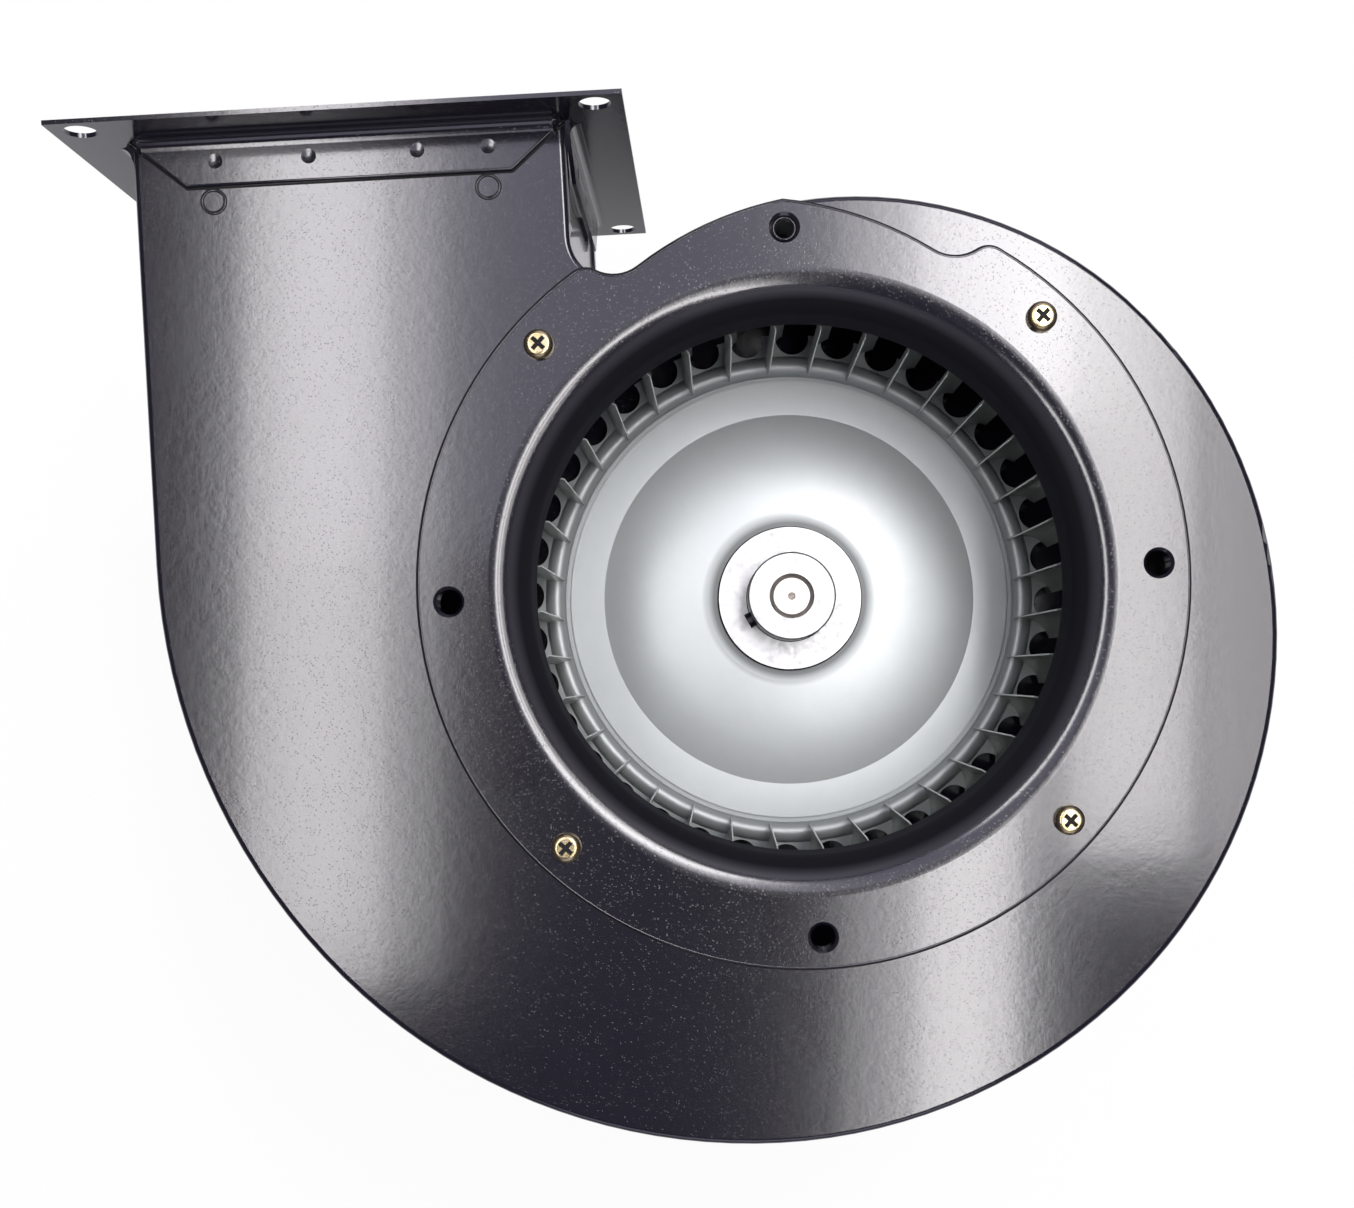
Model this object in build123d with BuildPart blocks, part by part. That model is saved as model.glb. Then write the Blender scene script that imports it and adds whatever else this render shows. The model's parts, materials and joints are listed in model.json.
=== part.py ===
"""Centrifugal blower with a forward-curved impeller, a sheet steel volute and an induction motor.

The shaft stands upright: +Z runs along it towards the inlet, and the origin is on the shaft axis
at the closed end of the fan cover, which is the face the blower rests on. +Y points from the shaft
towards the outlet flange. All sizes are in millimetres.
"""

from build123d import *
import math
import os

os.makedirs("parts", exist_ok=True)

# Heights, from the table up: fan cover, rear end shield, frame, front end shield, housing
REAR_SHIELD_Z = 50.0       # depth of the fan's space inside the cover
REAR_SHIELD = 14.0
FRAME_LENGTH = 96.0
FRONT_SHIELD = 15.0
HOUSING_DEPTH = 95.0       # outer face of the rear plate to outer face of the front plate

# Housing sheet
SHEET = 0.8                # sheet thickness of plates and scroll band
RIM_HEIGHT = 7.0           # folded rim of the front and rear plate
RIM_RADIUS = 1.8           # bend radius of that rim, outside

# Volute outline, seen from the inlet
SPIRAL_STEP_LENGTH = 11.7  # growth of the scroll radius from one 45 degree arc to the next
SPIRAL_ARCS = 6            # 45 degree arcs from the top of the scroll round to the left duct wall
TOP_CENTRE_Y = 8.8         # height of the centre of the first, flattest arc
TONGUE_ANGLE = 115.56      # degrees about the shaft, centre of the round tongue
TONGUE_GAP = 7.63          # radial, impeller to tongue
TONGUE_RADIUS = 11.4
OUTLET_NECK = 31.2         # tongue centre to the inner face of the outlet flange

# Outlet flange and its collar tabs
FLANGE_SIDE = 16.6         # how far the flange stands out beside the duct
FLANGE_FRONT = 16.5        # how far it stands in front of the front plate
FLANGE_REAR = 10.5         # how far it stands behind the rear plate
FLANGE_SHEET = 1.2
FLANGE_HOLE_RADIUS = 4.25
FLANGE_HOLE_EDGE_X = 7.5   # hole centre to the flange's side edge
FLANGE_HOLE_EDGE_Z = 6.0   # hole centre to the flange's front and rear edge
TAB_LENGTH = 12.4          # collar tab, from the flange down the duct
TAB_CORNER = 14.6          # how far the tab's cut corners reach in from the duct's corners
TAB_BEND = 3.0             # inside bend radius between flange and tab
WELD_RADIUS = 2.0          # dimple of a spot weld
WELD_DEPTH = 0.18
WELD_DROP = 6.2            # weld centre below the flange
BUTTON_RADIUS = 2.6        # round buttons pressed in the front plate next to the collar
BUTTON_HEIGHT = 0.15
BUTTON_GROOVE = 1.0        # width of the pressed ring round a button
BUTTON_GROOVE_DEPTH = 0.5
BUTTON_SPACING = 73.6
BUTTON_DROP = 16.6         # button centre below the flange

# Inlet ring and bell mouth
THROAT_LAP = 13.3          # radial, throat inside the impeller's outer edge
BELL_ENTRY_RADIUS = 10.3   # quarter round from the flat of the ring into the throat
BOLT_DISTANCE = 10.7       # radial, bell mouth to the circle of screws and tapped holes
RING_EDGE = 8.0            # radial, that circle to the ring's edge
RING_SHEET = 1.2
RING_CORNER = 5.0          # rounding where the ring's edge meets the tongue cut-out
TAPPED_RADIUS = 3.4        # tapping size of the duct holes
TAPPED_CHAMFER = 0.8
COLLAR_WALL = 0.3          # drawn collars of the tapped holes, under the front plate
COLLAR_DEPTH = 4.0
EYE_CLEARANCE = 1.7        # radial, impeller to the front plate's opening
THROAT_END = 22.0          # depth of the throat's free edge

# Screws of the inlet ring
SCREW_RADIUS = 1.95        # shank
SCREW_HEAD_RADIUS = 4.0
SCREW_HEAD_HEIGHT = 2.7
SCREW_LENGTH = 9.0
SCREW_CLEARANCE = 0.3      # radial, in the inlet ring
NUT_CLEARANCE = 0.05       # radial, in the nut and the front plate
CLINCH_RADIUS = 3.6
CLINCH_HEIGHT = 3.0

# Impeller
BLADE_COUNT = 36
IMPELLER_RADIUS = 87.3
BLADE_DEPTH = 14.1         # radial, from the blades' inner edges to the impeller's outer edge
BLADE_SHEET = 0.4
BLADE_FIT = 0.05           # radial, blade edge to the front ring's lip
BLADE_START = 2.0          # degrees about the shaft, inner edge of the first blade
BLADE_AHEAD = 3.6          # degrees that the outer edge runs ahead of the inner one
BLADE_SAG = 2.6            # height of the blade's arc over its chord
SCALLOP_RADIUS = 5.4       # rounded openings in the back disc, between the blades
SCALLOP_DEPTH = 7.3        # from the impeller's outer edge to the bottom of a scallop
SCALLOP_AHEAD = 4.2        # degrees from a blade's inner edge to the next scallop
FRONT_RING_WIDTH = 11.3
IMPELLER_LIP = 3.0         # turned lip of the front ring, over the blade ends
IMPELLER_GAP = 2.2         # from the throat's free edge to the front ring
DISC_CLEARANCE = 4.7       # rear plate to the back disc
DISC_SHEET = 0.8
DISC_RIM = 10.9            # radial width of the flat ring round the dome
DISC_DOME_FLAT = 26.9      # outer radius of the flat that carries the hub
DISC_DOME_RISE = 5.9
DISC_DOME_SAG = 0.75       # height of the dome's arc over a straight cone
GROOVE_DEPTH = 1.6         # groove between that flat ring and the rolled bead
GROOVE_WIDTH = 1.7
BEAD_LEAD = 0.3            # radial, bead's inner edge inside the blades' inner edges
BEAD_WIDTH = 6.6
BEAD_HEIGHT = 2.4

# Hub, set screw and shaft
HUB_FLANGE_RADIUS = 22.85
HUB_FLANGE_THICKNESS = 2.5
HUB_SLEEVE_RADIUS = 13.8
HUB_SLEEVE_LENGTH = 13.5   # in front of the hub flange
HUB_SPIGOT_RADIUS = 10.5   # passes through the back disc
HUB_SPIGOT_LENGTH = 2.6    # behind the hub flange
SHAFT_RADIUS = 7.0
SHAFT_FIT = 0.02           # radial, shaft in hub
SHAFT_RECESS = 1.2         # shaft end below the hub's end face
SHAFT_CHAMFER = 1.3
SHAFT_FLAT = 0.5           # depth of the flat under the set screw
SET_SCREW_RADIUS = 2.45
SET_SCREW_FIT = 0.05
SET_SCREW_PROUD = 2.0      # how far it stands out of the sleeve
SET_SCREW_ANGLE = 206.6    # degrees about the shaft
SET_SCREW_DOWN = 6.5       # below the hub's end face
SET_SCREW_SOCKET = 1.4     # corner radius of its hexagon socket
HUB_CHAMFER = 0.5
SHAFT_TAIL = 8.0           # shaft beyond the cooling fan
CENTRE_MARK = 1.2

# Bearings
BEARING_BORE = 7.5         # radius
BEARING_OUTER = 17.5       # radius
BEARING_WIDTH = 11.0
BEARING_INNER_WALL = 2.6
BEARING_OUTER_WALL = 2.6
SEAL_THICKNESS = 0.8
SEAL_INSET = 0.4
SEAL_CLEARANCE = 0.3
WAVE_WASHER = 0.8

# Motor
MOTOR_RADIUS = 60.0
FRAME_WALL_RADIUS = 55.0
STATOR_RADIUS = 50.0
STATOR_BORE = 30.0
AIR_GAP = 0.4
STATOR_SLOTS = 24
SLOT_MOUTH = 2.0
STATOR_YOKE = 10.0         # iron behind the slots
STACK_LENGTH = 60.0
WINDING_HEIGHT = 15.0
WINDING_INSET = 3.5        # end turns to the stator's bore and to the frame
WINDING_ROUND = 4.0
ROTOR_RING = 9.0           # radial width of the rotor's end rings
ROTOR_RING_HEIGHT = 7.0
SHIELD_SPIGOT = 4.0        # how far each shield reaches into the frame
SHIELD_SPIGOT_WALL = 3.0
SHIELD_EDGE = 1.0
SEAT_WALL = 4.0            # wall of the bearing seats
SEAT_REACH = 3.0           # front bearing seat beyond the shield, and the rear seat's floor
SHIELD_FLOOR = 5.0         # thickness of the rear shield between its seat and its rim
SHIELD_RIM = 6.0
FRAME_FIT = 0.05
FIN_COUNT = 24
FIN_WIDTH = 2.2
ROTOR_SHAFT_RADIUS = 9.0
FAN_SEAT_RADIUS = 6.0
SPIGOT_RADIUS = 32.0       # motor spigot in the rear plate
SEAL_LIP = 0.3             # radial clearance of the shaft in both end shields
TIE_BOLT_RADIUS = 1.95
TIE_BOLT_GAP = 0.45        # tie bolts to the frame's wall
TIE_BOLT_REACH = 7.0       # thread length in the front shield
TIE_BOLT_FLATS = 7.0
TIE_BOLT_HEAD = 2.8
MOTOR_BOLT_CIRCLE_RADIUS = 45.0
MOTOR_BOLT_RADIUS = 2.45
MOTOR_BOLT_HEAD = 3.5
MOTOR_BOLT_FLATS = 8.0
MOTOR_BOLT_REACH = 10.0    # thread length in the shield
WASHER_RADIUS = 5.0
WASHER_THICKNESS = 0.8
BOLT_FIT = 0.05
HOLE_FIT = 0.3

# Cooling fan and cover
FAN_RADIUS = 48.0
FAN_Z = 22.0
FAN_HEIGHT = 20.0
FAN_BLADES = 7
FAN_BLADE = 2.0
FAN_HUB_RADIUS = 12.0
FAN_DISC = 2.0
COVER_SHEET = 1.0
COVER_FIT = 0.05
COVER_OVERLAP = 8.0        # over the rear end shield
COVER_CORNER = 5.0
SLOT_COUNT = 24
SLOT_WIDTH = 3.0
SLOT_INNER = 20.0
SLOT_OUTER = 46.0
FAN_RING = 1.2
FAN_RING_WIDTH = 2.0
COVER_SCREW_RADIUS = 1.95
COVER_SCREW_REACH = 7.0
COVER_SCREW_ANGLE = 22.5   # degrees, first of four
SMALL_HEAD_RADIUS = 3.4
SMALL_HEAD_HEIGHT = 2.0

# Terminal box on the motor's +X side
PAD_RISE = 1.0             # pad on the frame, beyond the fins
PAD_WIDTH = 46.0
PAD_HEIGHT = 70.0
WIRE_HOLE = 7.0
BOX_WIDTH = 66.0           # along Y
BOX_HEIGHT = 82.0          # along Z
BOX_BELOW = 5.0            # box centre below the frame's middle
BOX_DEPTH = 26.0
BOX_WALL = 2.2
LID_DEPTH = 14.0
GASKET = 1.5
BOX_CORNER = 6.0
LID_SCREW_INSET = 6.5
LID_SCREW_RADIUS = 1.95
LID_SCREW_BOSS = 4.0
LID_SCREW_REACH = 9.0      # thread length in the box
LID_ROUND = 2.5
CAPACITOR_RADIUS = 14.0
CAPACITOR_LENGTH = 50.0
CAPACITOR_ROUND = 1.5
INSIDE_GAP = 2.0           # capacitor and terminal block to the box walls and to each other
TERMINAL_DEPTH = 11.0
TERMINAL_WIDTH = 20.0
TERMINAL_LENGTH = 30.0
TERMINAL_CELL = 9.0
GLAND_THREAD_RADIUS = 7.9
GLAND_BORE_RADIUS = 4.5
GLAND_FLATS = 19.0
GLAND_COLLAR = 4.0
GLAND_THREAD = 7.0
GLAND_CAP = 14.0
GLAND_ROUND = 1.5

# Derived places
FRAME_BOTTOM = REAR_SHIELD_Z + REAR_SHIELD
FRAME_TOP = FRAME_BOTTOM + FRAME_LENGTH
BACK_Z = FRAME_TOP + FRONT_SHIELD
FRONT_Z = BACK_Z + HOUSING_DEPTH
INNER_FRONT_Z = FRONT_Z - SHEET
INNER_BACK_Z = BACK_Z + SHEET
RING_Z = FRONT_Z + RING_SHEET
THROAT_END_Z = RING_Z - THROAT_END
THROAT_RADIUS = IMPELLER_RADIUS - THROAT_LAP
BELL_MOUTH_RADIUS = THROAT_RADIUS + BELL_ENTRY_RADIUS
BOLT_CIRCLE_RADIUS = BELL_MOUTH_RADIUS + BOLT_DISTANCE
RING_RADIUS = BOLT_CIRCLE_RADIUS + RING_EDGE
TONGUE_DISTANCE = IMPELLER_RADIUS + TONGUE_GAP + TONGUE_RADIUS
TONGUE_X = TONGUE_DISTANCE * math.cos(math.radians(TONGUE_ANGLE))
TONGUE_Y = TONGUE_DISTANCE * math.sin(math.radians(TONGUE_ANGLE))
OUTLET_Y = TONGUE_Y + OUTLET_NECK
ARC_CENTRE = SPIRAL_STEP_LENGTH / (2 * math.sin(math.radians(22.5)))
TOP_CENTRE_X = ARC_CENTRE * math.cos(math.radians(22.5))
TOP_RADIUS = math.hypot(TOP_CENTRE_X - TONGUE_X, TOP_CENTRE_Y - TONGUE_Y) - TONGUE_RADIUS
SCROLL_TOP = TOP_CENTRE_Y + TOP_RADIUS
FIRST_RADIUS = SCROLL_TOP + ARC_CENTRE * math.sin(math.radians(22.5))
LEFT_CENTRE_ANGLE = math.radians(-22.5 - 45 * (SPIRAL_ARCS - 1))
LEFT_RADIUS = FIRST_RADIUS + SPIRAL_STEP_LENGTH * (SPIRAL_ARCS - 1)
LEFT_X = ARC_CENTRE * math.cos(LEFT_CENTRE_ANGLE) - LEFT_RADIUS
LEFT_Y = ARC_CENTRE * math.sin(LEFT_CENTRE_ANGLE)
RIGHT_X = TONGUE_X - TONGUE_RADIUS
DUCT_X = (LEFT_X + RIGHT_X) / 2
DUCT_WIDTH = RIGHT_X - LEFT_X
DUCT_Z = (FRONT_Z + BACK_Z) / 2
FLANGE_WIDTH = DUCT_WIDTH + 2 * FLANGE_SIDE
FLANGE_LENGTH = HOUSING_DEPTH + FLANGE_FRONT + FLANGE_REAR
FLANGE_Z = FRONT_Z + FLANGE_FRONT - FLANGE_LENGTH / 2
FLANGE_FACE_Y = OUTLET_Y + FLANGE_SHEET
EYE_RADIUS = IMPELLER_RADIUS + EYE_CLEARANCE
DISC_Z = INNER_BACK_Z + DISC_CLEARANCE + DISC_SHEET
BLADE_INNER_RADIUS = IMPELLER_RADIUS - BLADE_DEPTH
GROOVE_OUTER = BLADE_INNER_RADIUS - BEAD_LEAD
DISC_FLAT_OUTER = GROOVE_OUTER - GROOVE_WIDTH
DISC_CREASE = DISC_FLAT_OUTER - DISC_RIM
DISC_OUTER = IMPELLER_RADIUS - DISC_SHEET
BLADE_OUTER_RADIUS = IMPELLER_RADIUS - DISC_SHEET - BLADE_FIT - BLADE_SHEET / 2
FRONT_RING_Z = THROAT_END_Z - IMPELLER_GAP
BLADE_TOP_Z = FRONT_RING_Z - DISC_SHEET
HUB_SEAT_Z = DISC_Z + DISC_DOME_RISE
HUB_FLANGE_TOP = HUB_SEAT_Z + HUB_FLANGE_THICKNESS
HUB_END_Z = HUB_FLANGE_TOP + HUB_SLEEVE_LENGTH
SHAFT_END_Z = HUB_END_Z - SHAFT_RECESS
SET_SCREW_Z = HUB_END_Z - SET_SCREW_DOWN
STACK_Z = (FRAME_BOTTOM + FRAME_TOP - STACK_LENGTH) / 2
STACK_TOP = STACK_Z + STACK_LENGTH
ROTOR_RADIUS = STATOR_BORE - AIR_GAP
FRONT_BEARING_Z = FRAME_TOP - SEAT_REACH
REAR_BEARING_Z = REAR_SHIELD_Z + SEAT_REACH + WAVE_WASHER
TIE_BOLT_CIRCLE = FRAME_WALL_RADIUS + TIE_BOLT_GAP + TIE_BOLT_RADIUS
COVER_RADIUS = MOTOR_RADIUS + COVER_FIT + COVER_SHEET
COVER_TOP = REAR_SHIELD_Z + COVER_OVERLAP
COVER_SCREW_Z = REAR_SHIELD_Z + COVER_OVERLAP / 2
BOX_X = MOTOR_RADIUS + PAD_RISE
BOX_Z = (FRAME_BOTTOM + FRAME_TOP) / 2 - BOX_BELOW


def scroll_arc(index):
    """Centre and radius of one 45 degree arc of the scroll, counted clockwise from the top."""
    angle = math.radians(-22.5 - 45 * index)
    centre = (ARC_CENTRE * math.cos(angle), ARC_CENTRE * math.sin(angle))
    return centre, FIRST_RADIUS + SPIRAL_STEP_LENGTH * index


def housing_face(inset, end_y):
    """Volute and outlet duct as one face, moved in by inset, with the duct cut off at end_y."""
    tangent = math.degrees(math.atan2(TOP_CENTRE_Y - TONGUE_Y, TOP_CENTRE_X - TONGUE_X))
    with BuildSketch() as outline:
        with BuildLine():
            for index in range(SPIRAL_ARCS):
                centre, radius = scroll_arc(index)
                CenterArc(centre, radius - inset, 45 - 45 * index, 45)
            Line((LEFT_X + inset, LEFT_Y), (LEFT_X + inset, end_y))
            Line((LEFT_X + inset, end_y), (RIGHT_X - inset, end_y))
            Line((RIGHT_X - inset, end_y), (RIGHT_X - inset, TONGUE_Y))
            CenterArc((TONGUE_X, TONGUE_Y), TONGUE_RADIUS + inset, 180, 180 + tangent)
            top_start = tangent + 180
            CenterArc((TOP_CENTRE_X, TOP_CENTRE_Y), TOP_RADIUS - inset, 90, top_start - 90)
        make_face()
    return outline.sketch


def tongue_cutout():
    """Everything above the volute's edge, from the tongue to the top of the scroll."""
    tangent = math.degrees(math.atan2(TOP_CENTRE_Y - TONGUE_Y, TOP_CENTRE_X - TONGUE_X))
    high = OUTLET_Y
    with BuildSketch() as region:
        with BuildLine():
            CenterArc((TONGUE_X, TONGUE_Y), TONGUE_RADIUS, 180, 180 + tangent)
            CenterArc((TOP_CENTRE_X, TOP_CENTRE_Y), TOP_RADIUS, 90, tangent + 90)
            Line((TOP_CENTRE_X, SCROLL_TOP), (TOP_CENTRE_X, high))
            Line((TOP_CENTRE_X, high), (RIGHT_X, high))
            Line((RIGHT_X, high), (RIGHT_X, TONGUE_Y))
        make_face()
    return region.sketch


def rim_edges(part, height):
    """Edges of the housing outline at one height, without the straight edge at the outlet."""
    level = part.edges().filter_by_position(Axis.Z, height - 0.01, height + 0.01)
    return level.filter_by(lambda edge: edge.center().Y < OUTLET_Y - 0.5)


# Front plate: flat sheet with a folded rim, open at the outlet and at the tongue
with BuildPart() as front_plate:
    with BuildSketch(Plane.XY.offset(FRONT_Z - RIM_HEIGHT)):
        add(housing_face(0, FLANGE_FACE_Y))
    extrude(amount=RIM_HEIGHT)
    fillet(rim_edges(front_plate, FRONT_Z), RIM_RADIUS)
    with BuildSketch(Plane.XY.offset(FRONT_Z - RIM_HEIGHT)):
        add(housing_face(SHEET, FLANGE_FACE_Y + 1))
    extrude(amount=RIM_HEIGHT - SHEET, mode=Mode.SUBTRACT)
    with Locations((TONGUE_X, TONGUE_Y, FRONT_Z - RIM_HEIGHT)):
        Cylinder(TONGUE_RADIUS + SHEET + 0.05, RIM_HEIGHT - SHEET,
                 align=(Align.CENTER, Align.CENTER, Align.MIN), mode=Mode.SUBTRACT)
    with BuildSketch(Plane.XY.offset(INNER_FRONT_Z)):
        Circle(EYE_RADIUS)
        with PolarLocations(BOLT_CIRCLE_RADIUS, 4):
            Circle(TAPPED_RADIUS)
        with PolarLocations(BOLT_CIRCLE_RADIUS, 4, start_angle=45):
            Circle(SCREW_RADIUS + NUT_CLEARANCE)
    extrude(amount=SHEET, mode=Mode.SUBTRACT)
    with BuildSketch(Plane.XY.offset(INNER_FRONT_Z)):
        with PolarLocations(BOLT_CIRCLE_RADIUS, 4):
            Circle(TAPPED_RADIUS + COLLAR_WALL)
            Circle(TAPPED_RADIUS, mode=Mode.SUBTRACT)
    extrude(amount=-COLLAR_DEPTH)
    button_places = Location((DUCT_X, OUTLET_Y - BUTTON_DROP, FRONT_Z))
    with BuildSketch(Plane(button_places)):
        with GridLocations(BUTTON_SPACING, 1, 2, 1):
            Circle(BUTTON_RADIUS + BUTTON_GROOVE)
            Circle(BUTTON_RADIUS, mode=Mode.SUBTRACT)
    extrude(amount=-BUTTON_GROOVE_DEPTH, mode=Mode.SUBTRACT)
    with BuildSketch(Plane(button_places)):
        with GridLocations(BUTTON_SPACING, 1, 2, 1):
            Circle(BUTTON_RADIUS)
    extrude(amount=BUTTON_HEIGHT)
front_plate.part.label = "front_plate"

# Rear plate: the same outline, with the motor's spigot hole and bolt holes
with BuildPart() as rear_plate:
    with BuildSketch(Plane.XY.offset(BACK_Z)):
        add(housing_face(0, FLANGE_FACE_Y))
    extrude(amount=RIM_HEIGHT)
    fillet(rim_edges(rear_plate, BACK_Z), RIM_RADIUS)
    with BuildSketch(Plane.XY.offset(INNER_BACK_Z)):
        add(housing_face(SHEET, FLANGE_FACE_Y + 1))
    extrude(amount=RIM_HEIGHT - SHEET, mode=Mode.SUBTRACT)
    with Locations((TONGUE_X, TONGUE_Y, INNER_BACK_Z)):
        Cylinder(TONGUE_RADIUS + SHEET + 0.05, RIM_HEIGHT - SHEET,
                 align=(Align.CENTER, Align.CENTER, Align.MIN), mode=Mode.SUBTRACT)
    with BuildSketch(Plane.XY.offset(BACK_Z)):
        Circle(SPIGOT_RADIUS)
        with PolarLocations(MOTOR_BOLT_CIRCLE_RADIUS, 4, start_angle=45):
            Circle(MOTOR_BOLT_RADIUS + HOLE_FIT)
    extrude(amount=SHEET, mode=Mode.SUBTRACT)
rear_plate.part.label = "rear_plate"

# Scroll band: one strip from the left duct wall round the scroll and the tongue to the right wall
with BuildPart() as scroll_band:
    with BuildSketch(Plane.XY.offset(INNER_BACK_Z)):
        add(housing_face(SHEET, FLANGE_FACE_Y))
        add(housing_face(2 * SHEET, FLANGE_FACE_Y + 1), mode=Mode.SUBTRACT)
    extrude(amount=HOUSING_DEPTH - 2 * SHEET)
scroll_band.part.label = "scroll_band"


def collar_tab(plane, width, weld_places):
    """One collar tab on a duct wall: the plane's x runs along the flange, y away from it."""
    with BuildPart() as tab:
        with BuildSketch(plane):
            with BuildLine():
                Polyline((-width / 2, 0), (width / 2, 0), (width / 2 - TAB_CORNER, TAB_LENGTH),
                         (-width / 2 + TAB_CORNER, TAB_LENGTH), close=True)
            make_face()
        extrude(amount=FLANGE_SHEET)
        dimple_radius = (WELD_RADIUS ** 2 + WELD_DEPTH ** 2) / (2 * WELD_DEPTH)
        with Locations(plane.offset(FLANGE_SHEET - WELD_DEPTH + dimple_radius)):
            with Locations(*[(place, WELD_DROP) for place in weld_places]):
                Sphere(dimple_radius, mode=Mode.SUBTRACT)
    return tab.part


def bend_fillet(plane, width):
    """Rounded inside corner between a collar tab and the flange, as a bar along the bend."""
    side = Plane(plane.from_local_coords((-width / 2, 0, FLANGE_SHEET)), plane.z_dir, plane.x_dir)
    with BuildPart() as corner:
        with BuildSketch(side):
            with BuildLine():
                Line((0, 0), (TAB_BEND, 0))
                CenterArc((TAB_BEND, -TAB_BEND), TAB_BEND, 90, 90)
                Line((0, -TAB_BEND), (0, 0))
            make_face()
        extrude(amount=width)
    return corner.part


# Outlet flange: folded frame with four collar tabs
WIDE_WELDS = (-37.5, -18.5, 10.5, 35.5)
DEEP_WELDS = (-24.0, 0.0, 24.0)
TAB_PLANES = (
    (Plane((DUCT_X, OUTLET_Y, FRONT_Z), (-1, 0, 0), (0, 0, 1)), DUCT_WIDTH, WIDE_WELDS),
    (Plane((DUCT_X, OUTLET_Y, BACK_Z), (1, 0, 0), (0, 0, -1)), DUCT_WIDTH, WIDE_WELDS),
    (Plane((LEFT_X, OUTLET_Y, DUCT_Z), (0, 0, -1), (-1, 0, 0)), HOUSING_DEPTH, DEEP_WELDS),
    (Plane((RIGHT_X, OUTLET_Y, DUCT_Z), (0, 0, 1), (1, 0, 0)), HOUSING_DEPTH, DEEP_WELDS),
)
with BuildPart() as outlet_flange:
    with Locations((DUCT_X, OUTLET_Y + FLANGE_SHEET / 2, FLANGE_Z)):
        Box(FLANGE_WIDTH, FLANGE_SHEET, FLANGE_LENGTH)
    with Locations((DUCT_X, OUTLET_Y + FLANGE_SHEET / 2, DUCT_Z)):
        Box(DUCT_WIDTH, 2 * FLANGE_SHEET, HOUSING_DEPTH, mode=Mode.SUBTRACT)
    with Locations(Plane((DUCT_X, OUTLET_Y, FLANGE_Z), (1, 0, 0), (0, 1, 0))):
        with GridLocations(FLANGE_WIDTH - 2 * FLANGE_HOLE_EDGE_X,
                           FLANGE_LENGTH - 2 * FLANGE_HOLE_EDGE_Z, 2, 2):
            Cylinder(FLANGE_HOLE_RADIUS, 4 * FLANGE_SHEET, mode=Mode.SUBTRACT)
    for plane, width, welds in TAB_PLANES:
        add(collar_tab(plane, width, welds))
        add(bend_fillet(plane, width - 2 * TAB_BEND))
outlet_flange.part.label = "outlet_flange"

# Inlet ring: flat plate cut to the volute's outline on both sides, with a spun bell mouth
with BuildPart() as inlet_ring:
    with BuildSketch(Plane.XY.offset(FRONT_Z)) as ring_outline:
        Circle(RING_RADIUS)
        add(tongue_cutout(), mode=Mode.SUBTRACT)
        add(mirror(tongue_cutout(), about=Plane.YZ, mode=Mode.PRIVATE), mode=Mode.SUBTRACT)
        corners = ring_outline.vertices().filter_by(
            lambda v: abs(v.X) > -TONGUE_X and abs(math.hypot(v.X, v.Y) - RING_RADIUS) < 0.1)
        fillet(corners, RING_CORNER)
        Circle(BELL_MOUTH_RADIUS, mode=Mode.SUBTRACT)
    extrude(amount=RING_SHEET)
    lip_centre = (BELL_MOUTH_RADIUS, RING_Z - BELL_ENTRY_RADIUS)
    with BuildSketch(Plane.XZ):
        with BuildLine():
            front_lip = CenterArc(lip_centre, BELL_ENTRY_RADIUS, 90, 90)
            rear_lip = CenterArc(lip_centre, BELL_ENTRY_RADIUS - RING_SHEET, 90, 90)
            Line(front_lip @ 0, rear_lip @ 0)
            Polyline(front_lip @ 1, (THROAT_RADIUS, THROAT_END_Z),
                     (THROAT_RADIUS + RING_SHEET, THROAT_END_Z), rear_lip @ 1)
        make_face()
    revolve(axis=Axis.Z)
    with BuildSketch(Plane.XY.offset(FRONT_Z)):
        with PolarLocations(BOLT_CIRCLE_RADIUS, 4):
            Circle(TAPPED_RADIUS)
        with PolarLocations(BOLT_CIRCLE_RADIUS, 4, start_angle=45):
            Circle(SCREW_RADIUS + SCREW_CLEARANCE)
    extrude(amount=RING_SHEET, mode=Mode.SUBTRACT)
    with PolarLocations(BOLT_CIRCLE_RADIUS, 4):
        with Locations((0, 0, RING_Z)):
            Cone(TAPPED_RADIUS - 0.01, TAPPED_RADIUS + TAPPED_CHAMFER, TAPPED_CHAMFER,
                 align=(Align.CENTER, Align.CENTER, Align.MAX), mode=Mode.SUBTRACT)
inlet_ring.part.label = "inlet_ring"


def pan_head_screw(radius, head_radius, head_height, length):
    """Pan-head screw with a cross recess, standing on its seat with the shank below."""
    with BuildPart() as screw:
        Cylinder(head_radius, head_height, align=(Align.CENTER, Align.CENTER, Align.MIN))
        fillet(screw.edges().sort_by(Axis.Z)[-1], head_height * 0.6)
        Cylinder(radius, length, align=(Align.CENTER, Align.CENTER, Align.MAX))
        with BuildSketch(Plane.XY.offset(head_height)):
            Rectangle(head_radius * 1.1, head_radius * 0.3)
            Rectangle(head_radius * 0.3, head_radius * 1.1)
        extrude(amount=-head_height * 0.7, taper=8, mode=Mode.SUBTRACT)
    return screw.part


# Four screws of the inlet ring, and the clinch nuts they go into
with BuildPart() as ring_screws:
    with Locations((0, 0, RING_Z)):
        with PolarLocations(BOLT_CIRCLE_RADIUS, 4, start_angle=45):
            add(pan_head_screw(SCREW_RADIUS, SCREW_HEAD_RADIUS, SCREW_HEAD_HEIGHT, SCREW_LENGTH))
ring_screws.part.label = "ring_screws"

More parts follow.
